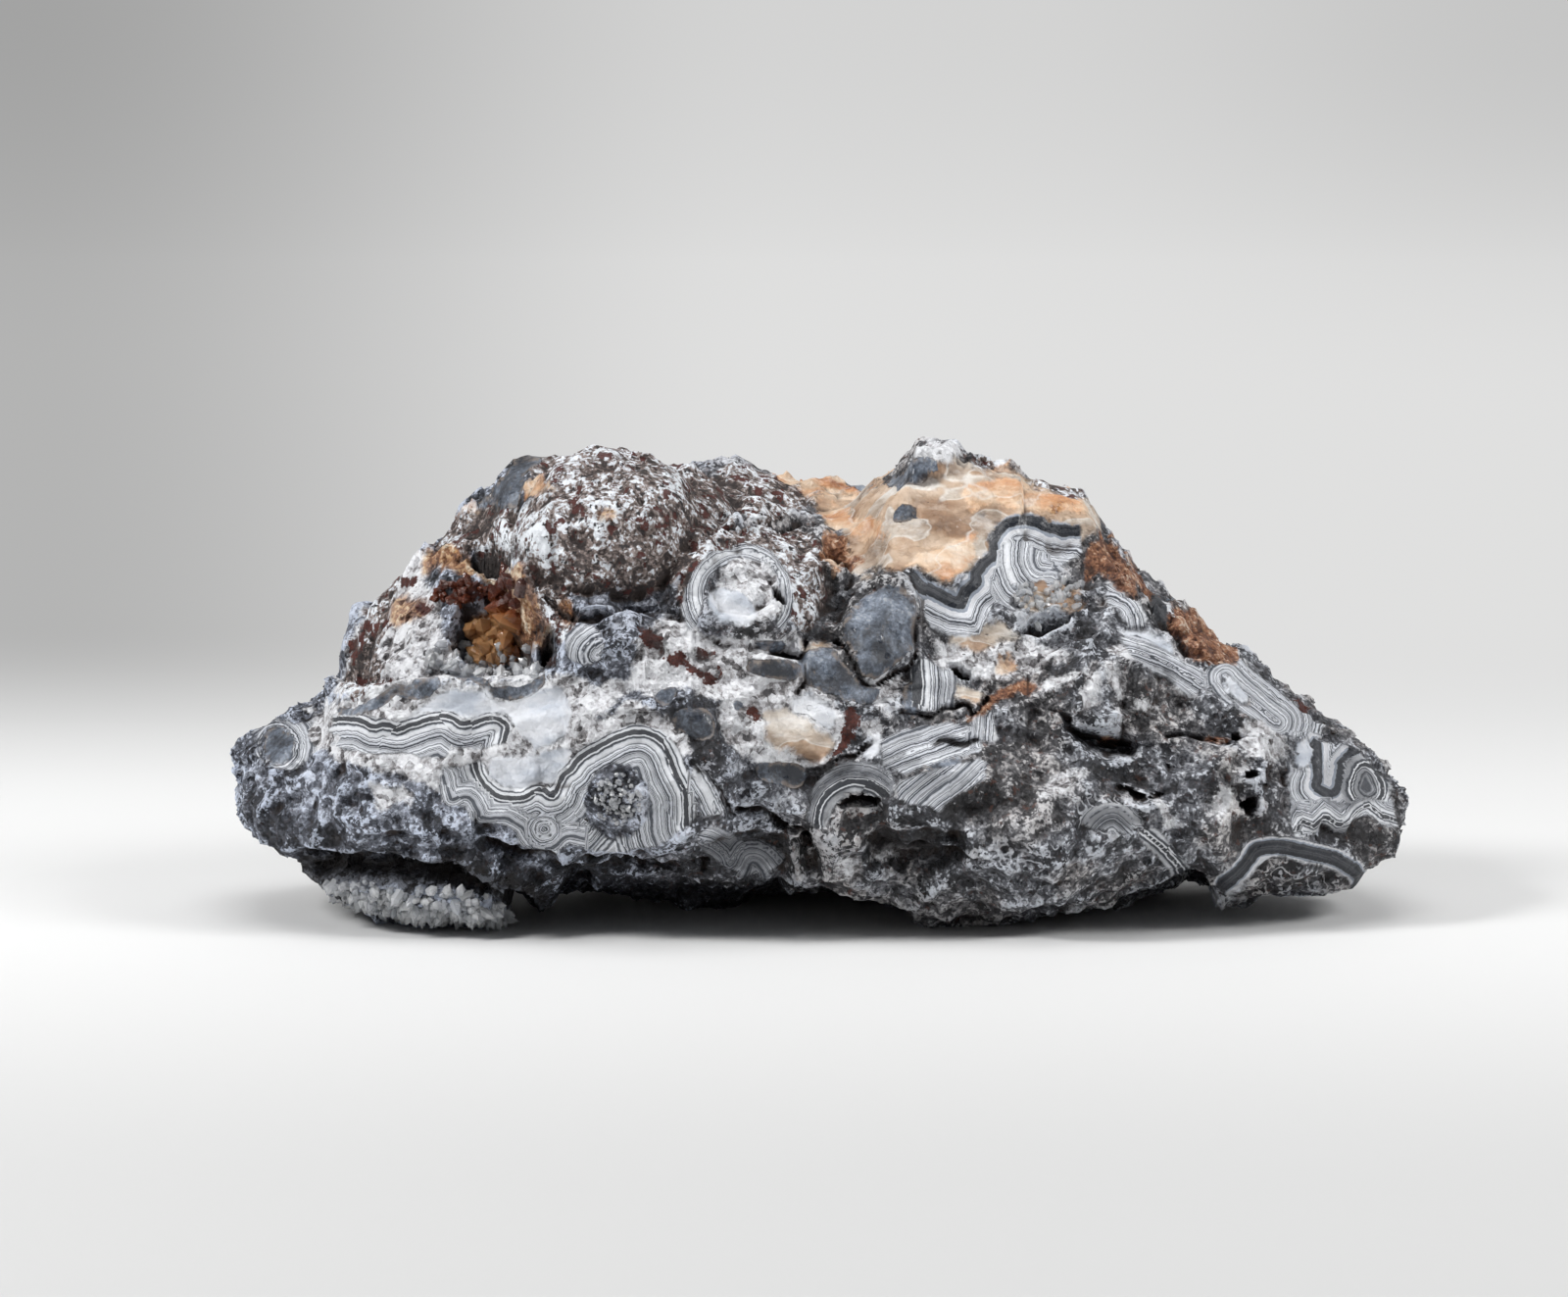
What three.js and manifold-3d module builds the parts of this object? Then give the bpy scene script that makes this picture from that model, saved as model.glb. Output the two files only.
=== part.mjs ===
// A rough chunk of crazy lace agate, lying on its broken underside.
// Millimetres. +Z is up, +X is to the right of someone looking at the broken face, and that face looks along -Y.
// The origin is under the middle of the stone's outer box, on the surface that it lies on.
//
// The stone is one solid. Its surface is carried by rays that leave a level spine inside it. Each ray ends
// on a plain body drawn by outlines along X or on a flat break, whichever comes first, and is then made longer
// by domes, shorter by hollows, and rough by broken facets.
// The crust of quartz crystals in its pocket is a second solid: a thin sheet that follows the pocket's floor,
// joined with the six-sided crystals that grow from it, and cut to stand just clear of the stone.

import * as THREE from "three";
import { mergeVertices } from "three/addons/utils/BufferGeometryUtils.js";
import Module from "manifold-3d";

const wasm = await Module();
wasm.setup();

// Driving sizes
const LENGTH = 116.8;
const RINGS = 70;
const RING_POINTS = 64;
const SPINE_END = 41; // the rays leave a spine that stops this far each side of the middle
const CAP_SHARE = 0.5; // length given to the rays that fan out past each end, as a share of the half spine
const FRONT_CROWDING = 0.34; // how much closer together a ring's points stand on the broken face
const CROWDED_TURN = THREE.MathUtils.degToRad(15);
const WAIST = 0.42; // where the body is deepest, as a share of its height
const LEAN = 3.5; // how far the crest stands behind the underside's middle
const SIDE_SQUARENESS = 2.5; // 2 is an ellipse, and more is squarer
const FOOT_SQUARENESS = 2.3;
const BACK_FOOT_SQUARENESS = 4.5;
const BOX_SHIFT = new THREE.Vector3(-0.05, -0.1, 0); // brings the outer box's middle to the origin

// The broken face is drawn on a map, in tenths of a millimetre, x to the right and y down. A point's place on it
// is where it shows on an upright sheet behind AIM, from an eye this far away and this high.
const EYE_DISTANCE = 700;
const EYE_RISE = THREE.MathUtils.degToRad(7);
const AIM = new THREE.Vector3(-3.45, 0, 26.34);
const MAP_MIDDLE = [800, 661.5];

// Outlines along X: [x, z] for the crest and underside, [x, y] for the reach towards and away from the viewer
const CREST = [
  [-58.4, 13.0], [-57.2, 16.4], [-54.9, 19.0], [-49.0, 21.4], [-47.6, 25.6], [-46.6, 28.8], [-45.6, 31.8],
  [-42.6, 35.2], [-37.9, 39.0], [-33.6, 41.6], [-31.0, 43.4], [-26.5, 44.4], [-22.5, 44.4], [-18.7, 43.8],
  [-12.4, 42.2], [-7.3, 41.6], [-1.4, 40.2], [3.7, 41.0], [7.4, 43.2], [10.0, 46.0], [13.9, 45.8],
  [18.2, 43.0], [27.0, 40.6], [29.4, 37.6], [32.3, 33.4], [36.6, 30.2], [41.4, 26.8], [47.6, 20.8],
  [51.9, 16.4], [55.6, 13.8], [57.4, 12.0], [58.4, 9.9],
];
const FRONT_UNDERSIDE = [
  [-58.4, 11.0], [-57.2, 8.8], [-55.2, 7.0], [-53.0, 5.4], [-50.4, 4.2], [-45.0, 2.4], [-33.9, 0.8],
  [-25.3, 3.0], [-10.4, 2.0], [0.6, 2.4], [7.6, 2.0], [12.3, 0.6], [26.1, 0.4], [32.7, 4.0], [37.4, 5.4],
  [40.6, 1.2], [54.2, 1.4], [56.2, 5.0], [58.4, 9.5],
];
const BACK_UNDERSIDE = [
  [-58.4, 11.0], [-50.0, 6.0], [-38.0, 3.5], [-24.0, 1.2], [-12.0, -0.4], [26.0, -0.4], [38.0, 2.5],
  [50.0, 5.5], [58.4, 9.5],
];
const FRONT_REACH = [
  [-58.4, -3.0], [-57.0, -9.0], [-52.0, -16.0], [-44.0, -22.0], [-30.0, -25.5], [-15.0, -26.5], [5.0, -25.5],
  [22.0, -25.0], [36.0, -22.0], [48.0, -17.0], [55.0, -11.5], [58.4, -3.0],
];
const BACK_REACH = [
  [-58.4, 2.5], [-56.5, 7.5], [-50.0, 13.0], [-38.0, 18.0], [-24.0, 22.8], [-8.0, 25.4], [10.0, 24.6],
  [26.0, 21.6], [40.0, 16.5], [52.0, 9.5], [58.4, 2.0],
];
const SPINE_HEIGHT = [[-41.0, 14.0], [-20.0, 18.0], [20.0, 18.0], [41.0, 12.0]];

// Flat breaks: the way each one faces, and how far along that way it lies from the origin
const BREAKS = [
  { faces: [0.22, -0.78, 0.58], at: 33.0 },
  { faces: [0.72, -0.2, 0.66], at: 52.8 },
  { faces: [0.3, 0.86, 0.42], at: 34.5 },
  { faces: [-0.42, 0.82, 0.38], at: 35.5 },
  { faces: [0.1, 0.62, 0.78], at: 42.5 },
  { faces: [-0.66, 0.3, 0.69], at: 51.5 },
  { faces: [0.1, 0.8, -0.6], at: 19.5 },
];

// Domes and lumps of the broken face: middle and half sizes on the map, turn in degrees, and rise
const FACE_DOMES = [
  { name: "big speckled dome", middle: [622, 545], half: [98, 68], turn: -4, rise: 5.0 },
  { name: "ringed nodule", middle: [762, 598], half: [82, 66], turn: 8, rise: 3.6 },
  { name: "small top dome", middle: [775, 498], half: [50, 34], turn: 10, rise: 2.2 },
  { name: "saddle dome", middle: [700, 515], half: [55, 34], turn: 0, rise: 2.4 },
  { name: "back top dome", middle: [612, 475], half: [84, 24], turn: 0, rise: 1.6 },
  { name: "dark corner lump", middle: [533, 493], half: [30, 34], turn: 0, rise: 2.2 },
  { name: "grey banded lump", middle: [617, 657], half: [46, 32], turn: -12, rise: 2.0 },
  { name: "blue-grey oval", middle: [898, 645], half: [42, 55], turn: 12, rise: 2.4 },
  { name: "slate nodule", middle: [858, 690], half: [42, 32], turn: 20, rise: 1.4 },
  { name: "slate pebble", middle: [788, 684], half: [30, 14], turn: 5, rise: 1.2 },
  { name: "blue-grey pebble", middle: [709, 737], half: [24, 22], turn: 0, rise: 1.2 },
  { name: "top knob", middle: [946, 464], half: [36, 24], turn: -10, rise: 2.0 },
  { name: "cream shoulder", middle: [1060, 505], half: [80, 42], turn: 12, rise: 2.0 },
  { name: "right rough boss", middle: [1115, 702], half: [66, 44], turn: 0, rise: 2.2 },
  { name: "right ridge", middle: [1255, 705], half: [70, 42], turn: 30, rise: 1.2 },
  { name: "right tip", middle: [1375, 822], half: [66, 74], turn: 0, rise: 1.0 },
  { name: "low right bulge", middle: [1110, 860], half: [110, 66], turn: 0, rise: 1.5 },
  { name: "low middle bulge", middle: [955, 885], half: [120, 50], turn: 0, rise: 1.4 },
  { name: "lace boss", middle: [620, 800], half: [140, 90], turn: 0, rise: 1.8 },
  { name: "left lobe", middle: [370, 800], half: [140, 96], turn: 8, rise: 1.0 },
  { name: "plate fan", middle: [965, 790], half: [52, 44], turn: -30, rise: 1.0 },
  { name: "low middle ledge", middle: [700, 892], half: [150, 30], turn: 0, rise: 1.0 },
  { name: "crystal shelf", middle: [436, 900], half: [136, 38], turn: 6, rise: 2.0 },
];

// Lumps of the back: middle, half sizes and rise
const BACK_LUMPS = [
  { name: "back boss", middle: [-14, 25, 24], half: [17, 16, 14], rise: 4.0 },
  { name: "back right boss", middle: [20, 24, 14], half: [14, 14, 11], rise: 3.4 },
  { name: "back left boss", middle: [-40, 14, 22], half: [13, 14, 12], rise: 3.0 },
  { name: "top back knob", middle: [-4, 14, 42], half: [10, 9, 9], rise: 2.6 },
  { name: "back low lump", middle: [-30, 22, 9], half: [12, 12, 8], rise: 2.6 },
  { name: "right back lump", middle: [44, 12, 14], half: [12, 12, 10], rise: 2.8 },
];

// Hollows of the broken face: width of the rim, depth, and outline, both widths on the map
const HOLLOWS = [
  {
    name: "upper left recess", rim: 24, depth: 4.5,
    outline: [
      [310, 706], [320, 640], [350, 580], [400, 530], [450, 510], [500, 500], [524, 540], [530, 590],
      [562, 622], [576, 660], [574, 690], [500, 700], [456, 694], [404, 704],
    ],
  },
  {
    name: "crystal pocket", rim: 22, depth: 9.0,
    outline: [
      [440, 612], [462, 572], [500, 546], [522, 560], [532, 600], [552, 630], [562, 682], [524, 690],
      [484, 684], [452, 652],
    ],
  },
  {
    name: "dark hole", rim: 14, depth: 11.0,
    outline: [[484, 560], [500, 546], [522, 556], [526, 580], [506, 590], [488, 580]],
  },
  {
    name: "ringed opening", rim: 10, depth: 1.5,
    outline: [[712, 606], [724, 584], [752, 572], [780, 580], [797, 604], [792, 634], [766, 646], [730, 644]],
  },
  {
    name: "saddle under the cream", rim: 26, depth: 2.6,
    outline: [[822, 506], [850, 494], [900, 500], [918, 540], [905, 585], [872, 598], [842, 570]],
  },
  {
    name: "slit", rim: 8, depth: 3.0,
    outline: [[780, 664], [800, 660], [822, 666], [818, 676], [792, 676]],
  },
  {
    name: "gap under the zigzag", rim: 10, depth: 4.5,
    outline: [[1036, 640], [1048, 628], [1076, 624], [1098, 630], [1090, 644], [1060, 654], [1040, 650]],
  },
  {
    name: "brown pit", rim: 14, depth: 4.0,
    outline: [[1082, 738], [1112, 742], [1150, 744], [1168, 758], [1160, 776], [1128, 780], [1104, 768]],
  },
  {
    name: "arched gap", rim: 8, depth: 4.0,
    outline: [[850, 826], [862, 812], [880, 808], [896, 814], [898, 826], [874, 824]],
  },
  {
    name: "dark cave", rim: 18, depth: 3.2,
    outline: [[872, 850], [900, 834], [944, 832], [984, 842], [994, 866], [976, 888], [920, 892], [884, 880]],
  },
  {
    name: "step beside the cave", rim: 12, depth: 2.4,
    outline: [[804, 858], [822, 850], [840, 862], [842, 890], [822, 896], [810, 880]],
  },
  {
    name: "undercut of the middle", rim: 16, depth: 2.2,
    outline: [[566, 884], [640, 866], [706, 852], [760, 840], [806, 848], [818, 880], [800, 930], [560, 940]],
  },
  {
    name: "gap above the crystal shelf", rim: 12, depth: 5.0,
    outline: [
      [272, 866], [330, 858], [398, 864], [470, 878], [536, 896], [572, 924], [540, 934], [500, 908],
      [440, 894], [380, 888], [330, 896], [290, 888],
    ],
  },
  {
    name: "notch in the lower edge", rim: 12, depth: 3.0,
    outline: [[1196, 930], [1204, 884], [1226, 880], [1240, 900], [1236, 930]],
  },
];

// The pocket's crust: a sheet between these places along X and these turns, clear of the stone by a gap
const CRUST = { from: -37.4, to: -29.4, turns: [31, 64], gap: 0.4, thick: 0.9, steps: 4 };

// Its crystals: place along X, turn in degrees, radius, length, and lean in degrees to the right and up
const CRYSTALS = [
  { at: -35.9, turn: 60, radius: 1.4, length: 3.2, lean: [-10, 10] },
  { at: -32.6, turn: 61, radius: 1.5, length: 3.4, lean: [8, 12] },
  { at: -36.6, turn: 51, radius: 1.3, length: 3.2, lean: [-16, -6] },
  { at: -33.6, turn: 52, radius: 1.7, length: 4.6, lean: [2, 20] },
  { at: -30.6, turn: 53, radius: 1.4, length: 3.4, lean: [12, 14] },
  { at: -35.4, turn: 43, radius: 1.6, length: 4.2, lean: [-10, 12] },
  { at: -31.8, turn: 44, radius: 1.7, length: 4.4, lean: [8, -10] },
  { at: -36.2, turn: 35, radius: 1.4, length: 3.2, lean: [-8, 6] },
  { at: -33.2, turn: 35, radius: 1.6, length: 3.8, lean: [-6, 14] },
  { at: -30.2, turn: 36, radius: 1.4, length: 3.4, lean: [12, 8] },
];

const COLOURS = { stone: 0x8d8a88, crystals: 0xa8683a };

// Value of an outline at x, on straight lines between its points
function along(outline, x) {
  const last = outline.length - 1;
  if (x <= outline[0][0]) return outline[0][1];
  for (let i = 0; i < last; i++) {
    const [x0, v0] = outline[i];
    const [x1, v1] = outline[i + 1];
    if (x <= x1) return v0 + ((v1 - v0) * (x - x0)) / (x1 - x0);
  }
  return outline[last][1];
}

// 0 at one value and 1 at the other, with a smooth way between, whichever is the larger
function smooth(zeroAt, oneAt, v) {
  const t = THREE.MathUtils.clamp((v - zeroAt) / (oneAt - zeroAt), 0, 1);
  return t * t * (3 - 2 * t);
}

// A repeatable 32-bit number for each point of a whole-number lattice
function scrambled(i, j, k) {
  let h = (Math.imul(i, 374761393) + Math.imul(j, 668265263) + Math.imul(k, 1274126177)) | 0;
  h = Math.imul(h ^ (h >>> 13), 1274126177);
  return (h ^ (h >>> 16)) >>> 0;
}

// Smooth noise from -1 to 1, with bumps about one wavelength apart
function noise(p, wavelength) {
  const q = [p.x / wavelength, p.y / wavelength, p.z / wavelength];
  const cell = q.map(Math.floor);
  const t = q.map((v, axis) => smooth(0, 1, v - cell[axis]));
  let sum = 0;
  for (let corner = 0; corner < 8; corner++) {
    const step = [corner & 1, (corner >> 1) & 1, corner >> 2];
    const weight = step.reduce((w, s, axis) => w * (s ? t[axis] : 1 - t[axis]), 1);
    sum += weight * (scrambled(cell[0] + step[0], cell[1] + step[1], cell[2] + step[2]) / 2147483648 - 1);
  }
  return sum;
}

// Broken facets about one size apart: the lowest of the tilted, slightly dished plates of the near cells.
// The offset moves the pattern, so that two sizes of facets don't share their edges.
function chips(p, size, offset) {
  const q = [p.x, p.y, p.z].map((v) => (v + offset) / size);
  const cell = q.map(Math.floor);
  let lowest = Infinity;
  for (let n = 0; n < 27; n++) {
    const home = [cell[0] + Math.floor(n / 9) - 1, cell[1] + (Math.floor(n / 3) % 3) - 1, cell[2] + (n % 3) - 1];
    const numbers = [scrambled(...home), scrambled(...home.map((v) => v + 101))];
    const parts = numbers.flatMap((h) => [0, 10, 20].map((shift) => ((h >>> shift) & 1023) / 511.5 - 1));
    const fromSeed = q.map((v, axis) => v - home[axis] - 0.5 - 0.38 * parts[axis]);
    const tilt = fromSeed.reduce((sum, v, axis) => sum + v * parts[axis + 3], 0);
    const bow = fromSeed.reduce((sum, v) => sum + v * v, 0);
    lowest = Math.min(lowest, 0.35 * parts[0] + 0.9 * tilt + 0.6 * bow);
  }
  return lowest + 0.35;
}

// Place of a point on the face's map
const forward = new THREE.Vector3(0, Math.cos(EYE_RISE), -Math.sin(EYE_RISE));
const upward = new THREE.Vector3(0, Math.sin(EYE_RISE), Math.cos(EYE_RISE));
const EYE = AIM.clone().addScaledVector(forward, -EYE_DISTANCE);
function onMap(p) {
  const d = p.clone().sub(EYE);
  const reach = (10 * EYE_DISTANCE) / d.dot(forward);
  return [MAP_MIDDLE[0] + d.x * reach, MAP_MIDDLE[1] - d.dot(upward) * reach];
}

// How far inside a closed outline a place is: the distance to its nearest edge, less than 0 outside
function depthInside(outline, [x, y]) {
  let nearest = Infinity;
  let inside = false;
  outline.forEach(([ax, ay], i) => {
    const [bx, by] = outline[(i + 1) % outline.length];
    const [ex, ey, wx, wy] = [bx - ax, by - ay, x - ax, y - ay];
    const share = THREE.MathUtils.clamp((wx * ex + wy * ey) / (ex * ex + ey * ey), 0, 1);
    nearest = Math.min(nearest, Math.hypot(wx - share * ex, wy - share * ey));
    if (ay <= y !== by <= y && (wx * ey - wy * ex) * Math.sign(ey) < 0) inside = !inside;
  });
  return inside ? nearest : -nearest;
}

// How far outside the plain body a point is: a superellipse round each cross-section, under 0 inside
function bodyField(p) {
  if (Math.abs(p.x) >= LENGTH / 2) return 1;
  const front = along(FRONT_REACH, p.x);
  const back = along(BACK_REACH, p.x);
  const backShare = smooth(-12, 12, p.y);
  const bottom = along(FRONT_UNDERSIDE, p.x) * (1 - backShare) + along(BACK_UNDERSIDE, p.x) * backShare;
  const top = along(CREST, p.x);
  const waist = bottom + (top - bottom) * WAIST;
  const up = p.z > waist ? (p.z - waist) / (top - waist) : (p.z - waist) / (waist - bottom);
  const lean = LEAN * THREE.MathUtils.clamp(up, -1, 1) * (Math.min(-front, back) / 28);
  const deep = p.y < lean ? (lean - p.y) / -front : (p.y - lean) / back;
  const foot = p.y < lean ? FOOT_SQUARENESS : BACK_FOOT_SQUARENESS;
  const squareness = up > 0 ? SIDE_SQUARENESS : foot;
  return deep ** squareness + Math.abs(up) ** squareness - 1;
}

// The ray that carries the surface point at this share of the length and this turn round the spine.
// Turn 0 is towards the viewer and a quarter turn is up. No two rays meet, so the surface never crosses itself.
function rayAt(share, turn) {
  const capLength = SPINE_END * CAP_SHARE;
  const travelled = (share - 0.5) * 2 * (SPINE_END + capLength);
  const x = THREE.MathUtils.clamp(travelled, -SPINE_END, SPINE_END);
  const tilt = ((travelled - x) / capLength) * (Math.PI / 2);
  const from = new THREE.Vector3(x, 0, along(SPINE_HEIGHT, x));
  const way = new THREE.Vector3(Math.sin(tilt), -Math.cos(tilt) * Math.cos(turn), Math.cos(tilt) * Math.sin(turn));
  return { from, way };
}

// Distance along a ray to the plain body's surface, by halving
function bodyDistance({ from, way }) {
  let [near, far] = [0, LENGTH];
  const p = new THREE.Vector3();
  for (let i = 0; i < 24; i++) {
    const middle = (near + far) / 2;
    p.copy(from).addScaledVector(way, middle);
    if (bodyField(p) < 0) near = middle;
    else far = middle;
  }
  return near;
}

// Distance along a ray to the first flat break, or infinity
function breakDistance({ from, way }) {
  let least = Infinity;
  for (const { faces, at } of BREAKS) {
    const normal = new THREE.Vector3(...faces).normalize();
    const speed = way.dot(normal);
    if (speed > 1e-6) least = Math.min(least, (at - from.dot(normal)) / speed);
  }
  return least;
}

// Height of the highest dome over a point: each one's rise times the square root of 1 - r * r
function domeRise(p, [x, y], facing) {
  let highest = 0;
  for (const { middle, half, turn, rise } of FACE_DOMES) {
    const angle = THREE.MathUtils.degToRad(turn);
    const [dx, dy] = [x - middle[0], y - middle[1]];
    const across = (dx * Math.cos(angle) + dy * Math.sin(angle)) / half[0];
    const down = (dy * Math.cos(angle) - dx * Math.sin(angle)) / half[1];
    highest = Math.max(highest, facing * rise * Math.sqrt(Math.max(1 - across ** 2 - down ** 2, 0)));
  }
  for (const { middle, half, rise } of BACK_LUMPS) {
    const far = new THREE.Vector3(...middle).sub(p).divide(new THREE.Vector3(...half)).lengthSq();
    highest = Math.max(highest, rise * Math.sqrt(Math.max(1 - far, 0)));
  }
  return highest;
}

// How deep the hollows go at a place on the map: each one's depth, reached one rim inside its outline
function hollowDepth(place) {
  return HOLLOWS.reduce((deepest, { outline, rim, depth }) => {
    return Math.max(deepest, depth * smooth(0, rim, depthInside(outline, place)));
  }, 0);
}

// Broad swells and three sizes of broken facets
function roughness(p) {
  return noise(p, 13) * 0.8 + chips(p, 9.5, 0) * 2.2 + chips(p, 4.7, 50) * 1.3 + chips(p, 2.3, 90) * 0.7;
}

// The surface point on a ray, moved out by some extra distance
function surfacePoint(ray, extra = 0) {
  const plain = Math.min(bodyDistance(ray), breakDistance(ray));
  const p = ray.from.clone().addScaledVector(ray.way, plain);
  const place = onMap(p);
  const facing = smooth(-0.15, 0.2, -ray.way.y);
  const dug = smooth(-0.05, 0.5, -ray.way.y);
  const rough = plain + roughness(p) + domeRise(p, place, facing) - hollowDepth(place) * dug;
  // where a ray would pass under the surface that the stone lies on, it ends there
  const floor = ray.way.z < 0 ? -ray.from.z / ray.way.z : Infinity;
  p.copy(ray.from).addScaledVector(ray.way, Math.min(rough, floor) + extra);
  return p.add(BOX_SHIFT);
}

// A closed geometry with only its positions, and its shared vertices merged
function closed(geometry) {
  geometry.deleteAttribute("normal");
  geometry.deleteAttribute("uv");
  return mergeVertices(geometry, 1e-5);
}

function stoneGeometry(extra = 0) {
  const geometry = closed(new THREE.SphereGeometry(1, RING_POINTS, RINGS));
  const position = geometry.getAttribute("position");
  const p = new THREE.Vector3();
  for (let i = 0; i < position.count; i++) {
    p.fromBufferAttribute(position, i);
    // the sphere's two poles become the stone's right and left ends
    const share = 1 - Math.acos(THREE.MathUtils.clamp(p.y, -1, 1)) / Math.PI;
    const even = Math.hypot(p.x, p.z) < 1e-4 ? 0 : Math.atan2(p.x, -p.z);
    const turn = even - FRONT_CROWDING * Math.sin(even - CROWDED_TURN);
    const q = surfacePoint(rayAt(share, turn), extra);
    position.setXYZ(i, q.x, q.y, q.z);
  }
  return geometry;
}

// The ray at a place along the spine and a turn in degrees
function rayOver(x, degrees) {
  const share = 0.5 + x / (2 * SPINE_END * (1 + CAP_SHARE));
  return rayAt(share, THREE.MathUtils.degToRad(degrees));
}

// The sheet that the crystals grow from: a flat box whose far and near faces are laid along the pocket's floor
function sheetGeometry() {
  const { from, to, turns, gap, thick, steps } = CRUST;
  const geometry = closed(new THREE.BoxGeometry(1, 1, 1, steps, steps, 1));
  const position = geometry.getAttribute("position");
  for (let i = 0; i < position.count; i++) {
    const x = THREE.MathUtils.lerp(from, to, position.getX(i) + 0.5);
    const turn = THREE.MathUtils.lerp(turns[0], turns[1], position.getY(i) + 0.5);
    const out = position.getZ(i) > 0 ? gap + thick : -gap;
    const q = surfacePoint(rayOver(x, turn), out);
    position.setXYZ(i, q.x, q.y, q.z);
  }
  return geometry;
}

// A six-sided crystal with a pointed end, from a flat foot at the origin up along +Y
function crystalGeometry(radius, length) {
  const profile = [[0, 0], [radius, 0], [radius * 0.92, length * 0.62], [0, length]];
  return closed(new THREE.LatheGeometry(profile.map(([x, y]) => new THREE.Vector2(x, y)), 6));
}

function toSolid(geometry) {
  const vertProperties = Float32Array.from(geometry.getAttribute("position").array);
  const triVerts = Uint32Array.from(geometry.getIndex().array);
  return new wasm.Manifold(new wasm.Mesh({ numProp: 3, vertProperties, triVerts }));
}

function toGeometry(solid) {
  const { vertProperties, triVerts } = solid.getMesh();
  const geometry = new THREE.BufferGeometry();
  geometry.setAttribute("position", new THREE.BufferAttribute(vertProperties, 3));
  geometry.setIndex(new THREE.BufferAttribute(triVerts, 1));
  return geometry;
}

function crustGeometry() {
  let crust = toSolid(sheetGeometry());
  for (const { at, turn, radius, length, lean } of CRYSTALS) {
    const ray = rayOver(at, turn);
    const geometry = crystalGeometry(radius, length);
    const sideways = THREE.MathUtils.degToRad(lean[0]);
    const upwards = THREE.MathUtils.degToRad(lean[1]);
    const across = new THREE.Vector3(Math.sin(sideways), 0, Math.sin(upwards));
    const points = ray.way.clone().add(across).normalize();
    geometry.applyQuaternion(new THREE.Quaternion().setFromUnitVectors(new THREE.Vector3(0, 1, 0), points));
    const foot = surfacePoint(ray, CRUST.gap);
    geometry.translate(foot.x, foot.y, foot.z);
    crust = crust.add(toSolid(geometry));
  }
  return toGeometry(crust.subtract(toSolid(stoneGeometry(CRUST.gap))));
}

function piece(name, geometry, color, roughness) {
  const mesh = new THREE.Mesh(geometry, new THREE.MeshStandardMaterial({ color, roughness, metalness: 0 }));
  mesh.name = name;
  return mesh;
}

const agate = new THREE.Group();
agate.name = "rough_lace_agate";
agate.add(piece("agate_stone", stoneGeometry(), COLOURS.stone, 0.6));
agate.add(piece("pocket_crystals", crustGeometry(), COLOURS.crystals, 0.2));

export default agate;
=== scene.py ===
"""A rough chunk of lace agate: a broken face of lace bands, speckled domes and a crystal-lined pocket."""

import math

import bpy
import numpy as np
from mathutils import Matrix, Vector


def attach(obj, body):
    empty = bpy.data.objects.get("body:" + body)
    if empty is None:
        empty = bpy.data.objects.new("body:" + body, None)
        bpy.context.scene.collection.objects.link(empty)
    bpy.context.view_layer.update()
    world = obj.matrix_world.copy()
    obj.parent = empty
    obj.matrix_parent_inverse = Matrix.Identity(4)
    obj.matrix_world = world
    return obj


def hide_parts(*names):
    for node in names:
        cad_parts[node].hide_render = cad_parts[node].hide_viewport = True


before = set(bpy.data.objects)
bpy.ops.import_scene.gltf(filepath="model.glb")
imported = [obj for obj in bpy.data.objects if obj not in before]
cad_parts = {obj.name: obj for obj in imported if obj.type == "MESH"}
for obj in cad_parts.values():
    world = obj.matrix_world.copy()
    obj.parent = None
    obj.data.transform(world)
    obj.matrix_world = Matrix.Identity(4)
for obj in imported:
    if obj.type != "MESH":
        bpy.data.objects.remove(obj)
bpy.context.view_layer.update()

# Driving sizes, in millimetres. X, Y and Z are the frame's own.
MM = 0.001
LENGTH = 116.8
SPINE_END = 41.0
CAP_SHARE = 0.5
WAIST = 0.42
LEAN = 3.5
SIDE_SQUARENESS = 2.5
FOOT_SQUARENESS = 2.3
BACK_FOOT_SQUARENESS = 4.5
BOX_SHIFT = np.array([-0.05, -0.1, 0.0])

# The grid of the stone's surface, its rings crowded on the broken face
STATIONS = 328
ROUND_POINTS = 300
FRONT_CROWDING = 0.5
CROWDED_TURN = math.radians(15)
HALVINGS = 24

# The broken face is drawn on a map, in tenths of a millimetre, x to the right and y down. A point's place on
# it is where it shows on an upright sheet behind the aim, from an eye this far away and this high.
MAP_STEPS = 10
EYE_DISTANCE = 700.0
EYE_RISE = math.radians(7)
AIM = np.array([-3.45, 0.0, 26.34])
MAP_MIDDLE = np.array([800.0, 661.5])
MAP_WIDTH = 160.0

# The depth in millimetres that a finish has anywhere far outside its outlines
FAR_OUTSIDE = -1.2

# Broken grains on the rough finishes, and the corners of one quartz point
GRAIN_COUNT = 9000
GRAIN_CORNERS = 6
CRYSTAL_CORNERS = 13
QUARTZ_IOR = 1.544

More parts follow.
